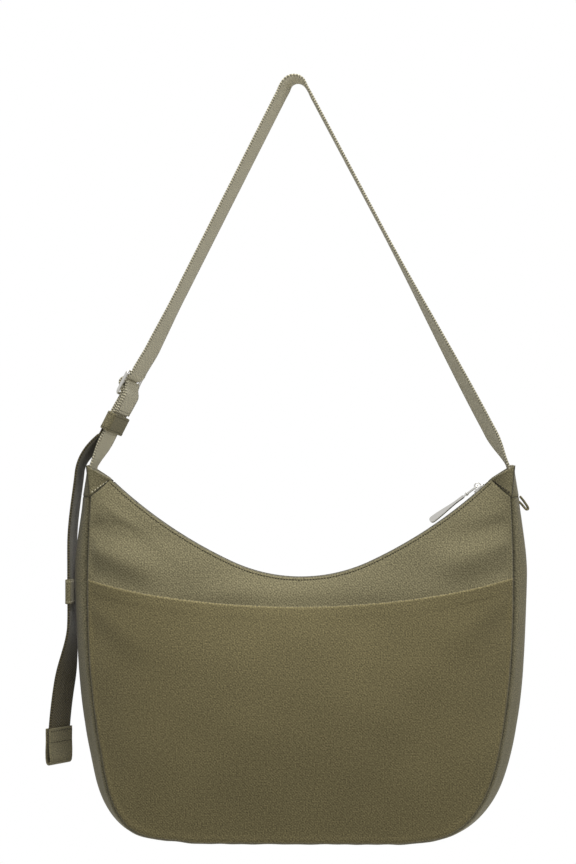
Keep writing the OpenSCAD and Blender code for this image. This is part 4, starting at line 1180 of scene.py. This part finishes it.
def leg_twist(side, up):
    """Twist of a leg about its own length. The right one is twisted near its foot and flat at the peg; the
    left one is twisted most at its hardware and keeps the rest of it up to the peg."""
    if side > 0:
        return TWIST_RIGHT * (smooth(up / 30) - smooth((up - 50) / 200))
    hardware = TWIST_FOOT + (TWIST_LEFT - TWIST_FOOT) * smooth(up / 24)
    return hardware + (TWIST_TOP - TWIST_LEFT) * smooth((up - 110) / 60)


def places(p, o, twist, out=0.0):
    """Webbing places, one row of six each: the point, moved out along the turned outward way, and the width's
    way. The twist leans the front edge outwards."""
    c, s = np.cos(twist), np.sin(twist)
    point = np.stack([p[:, 0] + out * c * o[:, 0], out * s, p[:, 1] + out * c * o[:, 1]], axis=1)
    width = np.stack([-s * o[:, 0], c, -s * o[:, 1]], axis=1)
    return np.concatenate([point, width], axis=1)


def leg(side, up, out=0.0):
    """Places on a leg, by the length up from its foot and the distance out from its line."""
    up = np.atleast_1d(np.asarray(up, float))
    out = np.broadcast_to(np.asarray(out, float), up.shape)
    d = LEG_WAY[side]
    o = np.broadcast_to(np.array([side * d[1], -side * d[0]]), (len(up), 2))
    return places(foot(side) + up[:, None] * d, o, leg_twist(side, up), out)


def round_bar(degrees, r):
    """(up, out) on a circle round the adjuster's middle bar, from the outside at 0 to the top at 90."""
    a = np.radians(np.atleast_1d(np.asarray(degrees, float)))
    return np.stack([ADJUSTER_UP + r * np.sin(a), FRAME_OUT + r * np.cos(a)], axis=1)


def webbing_section():
    """Webbing's section: flat, with rounded edges and a slightly thicker selvedge."""
    s = round_section(WEB_W / 2, WEB_T / 2, WEB_T * 0.45, 13, 3)
    return s * np.stack([np.ones(len(s)), 1 + 0.12 * smooth((np.abs(s[:, 0]) - WEB_W / 2 + 2.6) / 0.8)],
                        axis=1)


def webbing(stations, step=2.0):
    """Webbing through places: a smooth line through them, with the width's way carried along."""
    line = spline(stations, step)
    path, side = line[:, :3], unit(line[:, 3:])
    ahead = unit(np.gradient(path, axis=0))
    up = unit(np.cross(side, ahead))
    return sweep(path, side, up, webbing_section())


def edge_stitches(stations, at, pitch, face=1, across=None):
    """Stitches on a face of webbing: along it at a distance from its middle, or across it at a length
    along."""
    line = spline(stations, 0.8)
    path, side = line[:, :3], unit(line[:, 3:])
    up = unit(np.cross(side, unit(np.gradient(path, axis=0)))) * face
    if across is None:
        return stitch_row(path + side * at + up * WEB_T / 2, up, pitch, sunk=0.0)
    i = int(np.argmin(np.abs(run_lengths(path) - across)))
    w = np.linspace(-WEB_W / 2 + 2, WEB_W / 2 - 2, 30)[:, None]
    return stitch_row(path[i] + w * side[i] + up[i] * WEB_T / 2, np.broadcast_to(up[i], (30, 3)), pitch,
                      sunk=0.0)


def sewn_end(side):
    """Places of the strap's end between the corner patches, from its cut up to the bending stretch."""
    p, q = foot(side) + np.array([0, 2.0]), np.array([foot(side)[0] + side * 0.6, SEAM_Z + 4])
    t = np.linspace(0, 0.9, 4)
    points = mix(q, p, t[:, None])
    out = np.broadcast_to(np.array([float(side), 0.0]), (4, 2))
    return places(points, out, TWIST_FOOT * t if side < 0 else 0 * t)


def over_leg(points):
    """Places on the left leg from rows of (up, out)."""
    points = np.asarray(points, float)
    return leg(-1, points[:, 0], points[:, 1])


SWING_TOP, SWING_LOW = (0.0, 0.0, CORNER_Z * MM + 0.014), (0.0, 0.0, CORNER_Z * MM + 0.002)


def build_strap(sizes):
    """The long strap: from inside the right corner, up, over the peg, down the left leg, woven through the
    adjuster and ending in the keeper; and the webbing from the left corner sewn round the adjuster's bar."""
    peg = [peg_point(a) for a in np.linspace(touch(1), touch(-1), 21)[1:-1]]
    out = [unit(p - np.array([0, PEG_Z])) for p in peg]
    weave = [[STRAP_TOP + 12, UNDER * 0.6], [STRAP_TOP + 4, UNDER], [STRAP_TOP - DIVE, UNDER],
             *round_bar(np.arange(50, -51, -20), OVER_R),
             [STRAP_LOW + DIVE, UNDER], [STRAP_LOW - 4, UNDER], [KEEPER_LOW + KEEPER_H + 4, WEB_T + FIT],
             [TAIL_SPLIT + 0.3, WEB_T + FIT]]
    stations = np.concatenate([
        sewn_end(1), leg(1, [3, 7, 12, 18]), leg(1, np.linspace(28, LEG_LEN[1], 30)),
        places(np.array(peg), np.array(out), TWIST_TOP * np.linspace(0.05, 0.95, len(peg))),
        leg(-1, np.linspace(LEG_LEN[-1], STRAP_TOP + 24, 26)), over_leg(weave)])
    make_piece("shoulder_strap", [webbing(stations)], finish_of("webbing"),
               nodes=("main_strap", "strap_flex_right", "strap_end_right"),
               bend=("strap", "bag", SWING_TOP, SWING_LOW))
    inside = UNDER - WEB_T - 0.25
    lay = inside - WEB_T - 0.15
    fold_end = KEEPER_LOW + KEEPER_H + 2
    start, low = np.array([STRAP_LOW + DIVE, UNDER]), round_bar(-50, OVER_R)[0]
    away = round_bar(-50, LOOP_R)[0]
    run = start - low
    loop = [[STRAP_LOW - 4, inside], away + run * (inside - away[1]) / run[1],
            *round_bar(np.arange(-50, 201, 15), LOOP_R),
            [STRAP_LOW + 2, lay], [STRAP_LOW - 4, lay], [fold_end, -WEB_T - 0.2]]
    anchor = np.concatenate([sewn_end(-1), leg(-1, [3, 7, 12, 18, 24, KEEPER_LOW, KEEPER_LOW + KEEPER_H]),
                             over_leg(loop)])
    make_piece("anchor_strap", [webbing(anchor, 1.2)], finish_of("webbing"),
               nodes=("anchor_webbing", "strap_flex_left", "strap_end_left"),
               bend=("strap", "bag", SWING_TOP, SWING_LOW))
    flap = over_leg([[STRAP_LOW - 2, lay], [fold_end + 8, mix(-WEB_T - 0.2, lay, 0.5)],
                     [fold_end, -WEB_T - 0.2]])
    pitch = sizes.stitch_pitch / MM
    rows = [edge_stitches(flap, 0, pitch, face, across=run_lengths(flap[:, :3])[-1] - 2.2)
            for face in (-1, 1)]
    rows += [edge_stitches(flap, at, pitch, face) for at in (-FLAP_EDGE, FLAP_EDGE) for face in (-1, 1)]
    make_piece("anchor_strap_stitches", rows, finish_of("thread"), "strap")


def leg_frame(up, out):
    """Origin and the inward, width and upward ways of a frame on the left leg."""
    row = leg(-1, up, out)[0]
    d = np.array([LEG_WAY[-1][0], 0.0, LEG_WAY[-1][1]])
    width = row[3:]
    return row[:3], np.cross(width, d), width, d


def build_adjuster():
    """Three-bar adjuster: a rounded frame of round wire, and a middle bar whose ends show as domes."""
    at, x_way, width, up = leg_frame(ADJUSTER_UP, FRAME_OUT)
    half = WEB_W / 2 + ADJUSTER_SLACK / 2 + BAR_R
    loop = round_section(half, BAR_STEP, ADJUSTER_CORNER, 14, 8)
    path = at + loop[:, :1] * width + loop[:, 1:] * up
    ahead = unit(np.roll(path, -1, axis=0) - np.roll(path, 1, axis=0))
    thin = np.broadcast_to(x_way, path.shape)
    parts = [sweep(path, np.cross(ahead, thin), thin, round_section(BAR_R, BAR_R, BAR_R * 0.97, 0, 5),
                   closed=True)]
    t = np.linspace(-1, 1, 49)
    line = at + (t * (half + 0.9))[:, None] * width
    dome = np.sqrt(np.clip(1 - np.clip((np.abs(t) - 0.93) / 0.0702, 0, 1) ** 2, 0.001, 1))
    dome = dome * (BAR_R + 0.25 * smooth((np.abs(t) - 0.88) / 0.02))
    parts.append(sweep(line, np.broadcast_to(up, line.shape), np.broadcast_to(x_way, line.shape),
                       round_section(1.0, 1.0, 0.97, 0, 5), scale=np.stack([dome, dome], axis=1)))
    make_piece("adjuster_frame", parts, finish_of("nickel"), "strap", ("adjuster",))


def cloth_tube(at, x_way, y_way, z_way, inner_x, inner_y, height):
    """Flat tube of doubled cloth: a wall with rounded rims, carried round a rounded rectangle, and the rows
    of stitches near its two rims."""
    wall = KEEPER_WALL
    loop = round_section(inner_y / 2 + wall / 2, inner_x / 2 + wall / 2, min(inner_x / 2, 1.6) + wall / 2, 16,
                         6)
    path = at + loop[:, :1] * y_way + loop[:, 1:] * x_way
    ahead = unit(np.roll(path, -1, axis=0) - np.roll(path, 1, axis=0))
    z = np.broadcast_to(z_way, path.shape)
    body = sweep(path, z, np.cross(ahead, z), round_section(height / 2, wall / 2, wall * 0.45, 9, 3),
                 closed=True)
    out = np.cross(ahead, z)
    out *= np.sign(np.einsum("ij,ij->i", out, path - at))[:, None]
    rows = [stitch_row(np.concatenate([path, path[:1]]) + np.concatenate([out, out[:1]]) * wall * 0.5
                       + z_way * s * (height / 2 - 2.0),
                       np.concatenate([out, out[:1]]), 2.2, sunk=0.05) for s in (-1, 1)]
    return body, rows


def build_keepers():
    """The cloth keeper on the left leg and the one on the loose tail."""
    at, x_way, y_way, z_way = leg_frame(KEEPER_LOW + KEEPER_H / 2, -0.05)
    room = 3 * WEB_T + 1.2
    body, rows = cloth_tube(at, x_way, y_way, z_way, room, WEB_W + 3, KEEPER_H)
    make_piece("strap_keeper_cloth", [body], finish_of("canvas"), "strap_keeper", ("strap_keeper",))
    make_piece("strap_keeper_stitches", rows, finish_of("thread"), "strap_keeper")
    at = np.array([HANG_X, 0.0, CORNER_Z - TAIL_KEEPER_DROP])
    c, s = math.cos(TAIL_LEAN), math.sin(TAIL_LEAN)
    body, rows = cloth_tube(at, np.array([c, -s, 0]), np.array([s, c, 0]), np.array([0, 0, 1.0]), WEB_T + 1.0,
                            WEB_W + 2,
                            KEEPER_H + TAIL_KEEPER_MORE)
    make_piece("tail_keeper_cloth", [body], finish_of("canvas"), "tail_keeper", ("tail_keeper",))
    # stitches in the painted-highlight thread
    make_piece("tail_keeper_stitches", rows, finish_of("thread_painted_highlight"), "tail_keeper")


# ---------- tail ----------
TAIL_TOP = leg(-1, TAIL_UP, TAIL_OUT)[0][[0, 2]]
TAIL_BOTTOM = TAIL_TOP[1] - TAIL_LEN
HANG_X = BODY_X - HALF_W - SIDE_SWELL - 2.6  # where it hangs straight down beside the gusset
PAST_X = BODY_X - HALF_W - 8.7  # where it passes the corner
TAIL_DRIFT = 12.0


def tail_line():
    """The tail's line in the XZ plane: out over the corner, straight down beside the bag, then drifting
    out."""
    c = CORNER_Z
    return np.concatenate([
        bezier([TAIL_TOP, TAIL_TOP - np.array([10, 8]), (PAST_X + 1.4, c + 8), (PAST_X, c - 6)], 14),
        bezier([(PAST_X, c - 6), (PAST_X - 1.7, c - 23), (HANG_X, c - 49), (HANG_X, c - 72)], 12)[1:],
        np.array([[HANG_X, c - 90], [HANG_X, c - 115], [HANG_X, c - 140]]),
        bezier([(HANG_X, c - 140), (HANG_X, c - 170), (HANG_X - 9, TAIL_BOTTOM + 50),
                (HANG_X - TAIL_DRIFT, TAIL_BOTTOM)], 16)[1:],
    ])


def tail_places():
    """Places of the whole tail, from inside the strap's keeper to its end."""
    line = tail_line()
    d = unit(np.gradient(line, axis=0))
    z = line[:, 1]
    twist = TAIL_LEAN + (TWIST_LEFT - TAIL_LEAN) * (1 - smooth((TAIL_TOP[1] - z) / 30))
    twist = twist + (TAIL_TWIST - TAIL_LEAN) * smooth((CORNER_Z - 140 - z) / 55)
    hanging = places(line, np.stack([d[:, 1], -d[:, 0]], axis=1), twist)
    return np.concatenate([leg(-1, [TAIL_SPLIT, 44, 41, 38, 35, 32], WEB_T + FIT), leg(-1, TAIL_UP, TAIL_OUT),
                           hanging[1:]])


def build_tail(sizes):
    """The loose tail of webbing, bent over the corner, and the folded cloth tab over its cut end."""
    bend = (leg(-1, 34.0, WEB_T + FIT)[0][:3] * MM, (np.array([TAIL_TOP[0], 0.0, TAIL_TOP[1]])
                                                     + np.array([-4.5, 0, -4.5])) * MM)
    # the tail uses a darker copy of the strap's webbing: painted shade
    make_piece("tail_strap", [webbing(tail_places())], finish_of("webbing_painted_shade"),
               nodes=("tail_webbing", "tail_flex"), bend=("strap", "tail", tuple(bend[0]), tuple(bend[1])))
    end = tail_line()[-1]
    at = np.array([end[0], 0.0, end[1]])
    c, s = math.cos(-TAIL_TWIST), math.sin(-TAIL_TWIST)
    x_way, y_way, z_way = np.array([c, s, 0.0]), np.array([-s, c, 0.0]), np.array([0.0, 0.0, 1.0])
    side = [(1.75, 6.0), (1.8, 2.0), (1.7, -4.0), (1.9, -11.0), (2.35, -18.0), (2.45, -22.5), (1.7, -25.4),
            (0.0, -26.4)]
    loop = np.array(side + [(-x, z) for x, z in side[-2::-1]])
    line = spline(np.concatenate([loop, np.zeros((len(loop), 1))], axis=1)[:, [0, 2, 1]], 0.6)
    path = at + line[:, :1] * x_way + line[:, 2:] * z_way
    ahead = unit(np.gradient(path, axis=0))
    width = np.broadcast_to(y_way, path.shape)
    narrow = 1 - 0.07 * smooth((-12 - line[:, 2]) / 14)
    band = sweep(path, width, np.cross(ahead, width), round_section((WEB_W + 3.4) / 2, 0.7, 0.6, 13, 3),
                 scale=np.stack([narrow, np.ones_like(narrow)], axis=1))
    make_piece("tail_end_tab_cloth", [band], finish_of("canvas"), "tail", ("tail_end_tab",))
    rows = []
    for face in (-1, 1):
        for z in (3.6, -6.5):
            w = np.linspace(-15.2, 15.2, 24)[:, None]
            rows.append(stitch_row(at + w * y_way + face * 2.45 * x_way + z * z_way,
                                   np.broadcast_to(face * x_way, (24, 3)), sizes.stitch_pitch / MM))
    make_piece("tail_end_tab_stitches", rows, finish_of("thread"), "tail")


def build_side_loop():
    """Small folded cloth loop that stands out of the right side seam."""
    u = np.array([0.9935])
    o, base = seam_out(u)[0], seam(u)[0]
    p = base + o * (swell(u)[0] + 1.0)
    tilt = math.radians(-8.0)
    shape = np.array([(-1.4, 6.0), (1.8, 3.1), (4.6, 0.1), (6.8, -2.6), (7.3, -4.2), (6.2, -4.9), (4.3, -3.7),
                      (2.0, -1.6), (0.0, 0.0), (-1.6, 1.2)])
    line = spline(np.concatenate([shape, np.zeros((len(shape), 1))], axis=1), 0.35)
    x = p[0] + line[:, 0] * math.cos(tilt) - line[:, 1] * math.sin(tilt)
    z = p[1] + line[:, 0] * math.sin(tilt) + line[:, 1] * math.cos(tilt)
    path = np.stack([x, np.zeros_like(x), z], axis=1)
    width = np.broadcast_to(Y_WAY, path.shape)
    band = sweep(path, width, np.cross(unit(np.gradient(path, axis=0)), width),
                 round_section(4.5, 0.95, 0.7, 5, 3))
    make_piece("side_loop_cloth", [band], finish_of("canvas"), "bag", ("side_loop",))


# ---------- stage ----------
FLOOR_HALF = 2.6
LIT_MIDDLE = (0.0, 0.0, -0.45)
SENSOR = 36.0
# each softbox: place and size in metres, and its share of the key light's power
SOFTBOXES = {
    "key_softbox": ((-0.1, -0.62, 1.5), 1.0, 1.0),
    "top_softbox": ((0.3, 0.3, 1.7), 1.2, 0.6),
    "front_softbox": ((1.9, -1.9, 0.2), 1.3, 0.36),
    "back_softbox": ((0.6, 2.4, 0.6), 1.6, 0.45),
}


def soft_light(name, place, size, power):
    """Square softbox at place, facing the bag's middle; metres and watts."""
    data = bpy.data.lights.new(name, "AREA")
    data.shape, data.size, data.energy = "SQUARE", size, power
    lamp = bpy.data.objects.new(name, data)
    bpy.context.scene.collection.objects.link(lamp)
    lamp.location = place
    z = unit(np.array(place) - np.array(LIT_MIDDLE))
    lamp.rotation_euler = (math.acos(z[2]), 0.0, math.atan2(z[0], -z[1]))


def build_stage(stage):
    """Pale floor far below the hanging bag, white surroundings, softboxes and the camera."""
    scene = bpy.context.scene
    floor = bpy.data.meshes.new("studio_floor")
    corners = FLOOR_HALF * np.array([(-1, -1), (1, -1), (1, 1), (-1, 1)])
    floor.from_pydata([(x, y, stage.floor_height) for x, y in corners], [], [(0, 1, 2, 3)])
    floor.materials.append(finish_of("board"))
    piece = bpy.data.objects.new("studio_floor", floor)
    scene.collection.objects.link(piece)

    world = scene.world or bpy.data.worlds.new("studio")
    scene.world = world
    world.use_nodes = True
    tree = world.node_tree
    tree.nodes.clear()
    seen = add_node(tree, "LightPath")
    fill = add_node(tree, "Background", {}, {"Color": (1.0, 0.99, 0.97, 1.0), "Strength": stage.fill})
    white = add_node(tree, "Background", {}, {"Color": (1.0, 1.0, 1.0, 1.0), "Strength": 1.0})
    mirrored = add_node(tree, "Math", {"operation": "MULTIPLY"}, {1: stage.mirrored},
                        {0: (seen, "Is Glossy Ray")})
    bright = add_node(tree, "Math", {"operation": "MAXIMUM"}, {},
                      {0: (seen, "Is Camera Ray"), 1: (mirrored, 0)})
    both = add_node(tree, "MixShader", {}, {}, {0: (bright, 0), 1: (fill, 0), 2: (white, 0)})
    add_node(tree, "OutputWorld", {}, {}, {"Surface": (both, 0)})

    for name, (place, size, share) in SOFTBOXES.items():
        soft_light(name, place, size, stage.key * share)

    data = bpy.data.cameras.new("camera")
    camera = bpy.data.objects.new("camera", data)
    scene.collection.objects.link(camera)
    turn = stage.camera_turn
    aim = np.array([stage.aim_x, 0.0, stage.aim_z])
    camera.location = aim + stage.camera_away * np.array([math.sin(turn), -math.cos(turn), 0.0])
    camera.rotation_euler = (math.pi / 2, 0.0, turn)
    data.sensor_width = SENSOR
    data.lens = data.sensor_width * stage.camera_away / stage.view_height
    data.clip_end = 50.0
    scene.camera = camera
    scene.view_settings.view_transform = "Standard"
    scene.view_settings.look = "None"


# ---------- add-on ----------
class HoboSizes(bpy.types.PropertyGroup):
    """Sizes of the bag's small repeated details."""
    stitch_pitch: bpy.props.FloatProperty(
        name="Stitch spacing", description="Distance from one stitch to the next",
        default=2.3 * MM, min=1.5 * MM, max=5.0 * MM, unit="LENGTH")
    edge_pitch: bpy.props.FloatProperty(
        name="Mouth stitch spacing", description="Distance between the stitches along the mouth",
        default=2.6 * MM, min=1.5 * MM, max=5.0 * MM, unit="LENGTH")
    patch_pitch: bpy.props.FloatProperty(
        name="Corner stitch spacing", description="Distance between the stitches along a corner patch",
        default=3.2 * MM, min=1.5 * MM, max=5.0 * MM, unit="LENGTH")
    coil_pitch: bpy.props.FloatProperty(
        name="Zip tooth spacing", description="Distance between neighbouring teeth of one coil",
        default=1.6 * MM, min=1.0 * MM, max=3.0 * MM, unit="LENGTH")


def colour_property(name, description, code):
    """A colour a user can change, given as sRGB hex."""
    return bpy.props.FloatVectorProperty(name=name, description=description, subtype="COLOR", size=3, min=0.0,
                                         max=1.0, default=linear(code))


class HoboColours(bpy.types.PropertyGroup):
    """Colours of the bag's cloths, threads and metal."""
    canvas: colour_property("Canvas", "Dye of the canvas", 0x7E775A)
    # the canvas colour darkened as painted shade for the pocket
    pocket_canvas_painted_shade: colour_property("Pocket canvas, painted shade", "Canvas colour darkened as painted shade for the pocket",
                                   0x746B4A)
    webbing: colour_property("Webbing", "Face of the webbing", 0xCFC8AC)
    # the webbing colour darkened as painted shade for the loose tail
    webbing_painted_shade: colour_property("Webbing reverse", "Webbing darkened as painted shade, on the loose tail",
                                  0x5A5238)
    lining: colour_property("Lining", "Plain lining cloth", 0x9A9378)
    tape: colour_property("Zip tape", "Woven tape of the zip", 0x5E5940)
    coil: colour_property("Zip coil", "Polyester coil of the zip", 0x55503A)
    nickel: colour_property("Nickel", "Plate on the adjuster, slider, pull and stops", 0xDEDCD6)
    # sewing thread, darkened partly as painted shade of its needle holes
    thread: colour_property("Thread", "Sewing thread", 0x29251A)
    # the thread colour lightened as a painted highlight
    thread_painted_highlight: colour_property("Thread, painted highlight", "Sewing thread where it catches the light", 0xD8D2B4)
    board: colour_property("Studio board", "Floor of the studio", 0xF4F4F2)


class HoboStage(bpy.types.PropertyGroup):
    """The studio round the bag."""
    floor_height: bpy.props.FloatProperty(
        name="Floor height", description="Height of the floor, from the strap's top",
        default=-1.62, unit="LENGTH")
    key: bpy.props.FloatProperty(
        name="Key light", description="Power of the main softbox", default=34.0, unit="POWER")
    fill: bpy.props.FloatProperty(
        name="Fill", description="Brightness of the white surroundings", default=0.22, min=0.0)
    mirrored: bpy.props.FloatProperty(
        name="Mirrored white", description="How much of the white surroundings shiny metal mirrors",
        default=0.65, min=0.0, max=1.0, subtype="FACTOR")
    camera_away: bpy.props.FloatProperty(
        name="Camera distance", description="Distance from the camera to the bag", default=2.2, unit="LENGTH")
    camera_turn: bpy.props.FloatProperty(
        name="Camera turn", description="How far the camera stands round to the right of the front",
        default=math.radians(1.5), subtype="ANGLE")
    aim_x: bpy.props.FloatProperty(
        name="Aim across", description="Where the camera looks, across", default=-0.0072, unit="LENGTH")
    aim_z: bpy.props.FloatProperty(
        name="Aim height", description="Where the camera looks, up", default=-0.3168, unit="LENGTH")
    view_height: bpy.props.FloatProperty(
        name="View height", description="Height of the view at the bag", default=0.7776, unit="LENGTH")


class HOBO_OT_panels(bpy.types.Operator):
    """Front and back panels with their edge stitches"""
    bl_idname = "hobo.panels"
    bl_label = "Panels"

    def execute(self, context):
        build_panels(context.scene.hobo_sizes)
        return {"FINISHED"}


class HOBO_OT_pocket(bpy.types.Operator):
    """Full-width pocket and its facing"""
    bl_idname = "hobo.pocket"
    bl_label = "Front pocket"

    def execute(self, context):
        build_pocket()
        return {"FINISHED"}


class HOBO_OT_gusset(bpy.types.Operator):
    """Tapered gusset between the panels"""
    bl_idname = "hobo.gusset"
    bl_label = "Gusset"

    def execute(self, context):
        build_gusset()
        return {"FINISHED"}


class HOBO_OT_corners(bpy.types.Operator):
    """Corner patches, caps and stitches"""
    bl_idname = "hobo.corners"
    bl_label = "Corners"

    def execute(self, context):
        build_corners(context.scene.hobo_sizes)
        return {"FINISHED"}


class HOBO_OT_lining(bpy.types.Operator):
    """Lining and slip pocket"""
    bl_idname = "hobo.lining"
    bl_label = "Lining"

    def execute(self, context):
        build_lining()
        return {"FINISHED"}


class HOBO_OT_zip(bpy.types.Operator):
    """Tapes, coils and stops"""
    bl_idname = "hobo.zip"
    bl_label = "Zip"

    def execute(self, context):
        build_zip(context.scene.hobo_sizes)
        return {"FINISHED"}


class HOBO_OT_slider(bpy.types.Operator):
    """Zip slider and its bridge"""
    bl_idname = "hobo.slider"
    bl_label = "Slider"

    def execute(self, context):
        build_slider()
        return {"FINISHED"}


class HOBO_OT_pull(bpy.types.Operator):
    """Pull link and paddle"""
    bl_idname = "hobo.pull"
    bl_label = "Pull"

    def execute(self, context):
        build_pull()
        return {"FINISHED"}


class HOBO_OT_strap(bpy.types.Operator):
    """Shoulder strap and anchor webbing"""
    bl_idname = "hobo.strap"
    bl_label = "Strap"

    def execute(self, context):
        build_strap(context.scene.hobo_sizes)
        return {"FINISHED"}


class HOBO_OT_adjuster(bpy.types.Operator):
    """Three-bar adjuster"""
    bl_idname = "hobo.adjuster"
    bl_label = "Adjuster"

    def execute(self, context):
        build_adjuster()
        return {"FINISHED"}


class HOBO_OT_tail(bpy.types.Operator):
    """Loose tail and its end tab"""
    bl_idname = "hobo.tail"
    bl_label = "Tail"

    def execute(self, context):
        build_tail(context.scene.hobo_sizes)
        return {"FINISHED"}


class HOBO_OT_keepers(bpy.types.Operator):
    """Cloth keepers on strap and tail"""
    bl_idname = "hobo.keepers"
    bl_label = "Keepers"

    def execute(self, context):
        build_keepers()
        return {"FINISHED"}


class HOBO_OT_side_loop(bpy.types.Operator):
    """Folded loop on the right side"""
    bl_idname = "hobo.side_loop"
    bl_label = "Side loop"

    def execute(self, context):
        build_side_loop()
        return {"FINISHED"}


class HOBO_OT_stage(bpy.types.Operator):
    """Floor, surroundings, lights and camera"""
    bl_idname = "hobo.stage"
    bl_label = "Stage"

    def execute(self, context):
        build_stage(context.scene.hobo_stage)
        return {"FINISHED"}


OPERATORS = (
    HOBO_OT_panels, HOBO_OT_pocket, HOBO_OT_gusset, HOBO_OT_corners, HOBO_OT_lining,
    HOBO_OT_zip, HOBO_OT_slider, HOBO_OT_pull, HOBO_OT_strap, HOBO_OT_adjuster,
    HOBO_OT_tail, HOBO_OT_keepers, HOBO_OT_side_loop,
    HOBO_OT_stage,
)


class HOBO_PT_build(bpy.types.Panel):
    """Lists the bag's sizes and the steps that build it"""
    bl_label = "Hobo bag"
    bl_space_type = "VIEW_3D"
    bl_region_type = "UI"
    bl_category = "Hobo bag"

    def draw(self, context):
        for group in (context.scene.hobo_sizes, context.scene.hobo_colours, context.scene.hobo_stage):
            for key in type(group).__annotations__:
                self.layout.prop(group, key)
        for kind in OPERATORS:
            self.layout.operator(kind.bl_idname)


CLASSES = (HoboSizes, HoboColours, HoboStage, *OPERATORS, HOBO_PT_build)


def register():
    for kind in CLASSES:
        bpy.utils.register_class(kind)
    bpy.types.Scene.hobo_sizes = bpy.props.PointerProperty(type=HoboSizes)
    bpy.types.Scene.hobo_colours = bpy.props.PointerProperty(type=HoboColours)
    bpy.types.Scene.hobo_stage = bpy.props.PointerProperty(type=HoboStage)


def unregister():
    del bpy.types.Scene.hobo_stage, bpy.types.Scene.hobo_colours, bpy.types.Scene.hobo_sizes
    for kind in reversed(CLASSES):
        bpy.utils.unregister_class(kind)


def main():
    """Builds the bag piece by piece, then the stage."""
    register()
    bpy.ops.hobo.panels()
    bpy.ops.hobo.pocket()
    bpy.ops.hobo.gusset()
    bpy.ops.hobo.corners()
    bpy.ops.hobo.lining()
    bpy.ops.hobo.zip()
    bpy.ops.hobo.slider()
    bpy.ops.hobo.pull()
    bpy.ops.hobo.strap()
    bpy.ops.hobo.adjuster()
    bpy.ops.hobo.tail()
    bpy.ops.hobo.keepers()
    bpy.ops.hobo.side_loop()
    bpy.ops.hobo.stage()


if __name__ == "__main__":
    main()
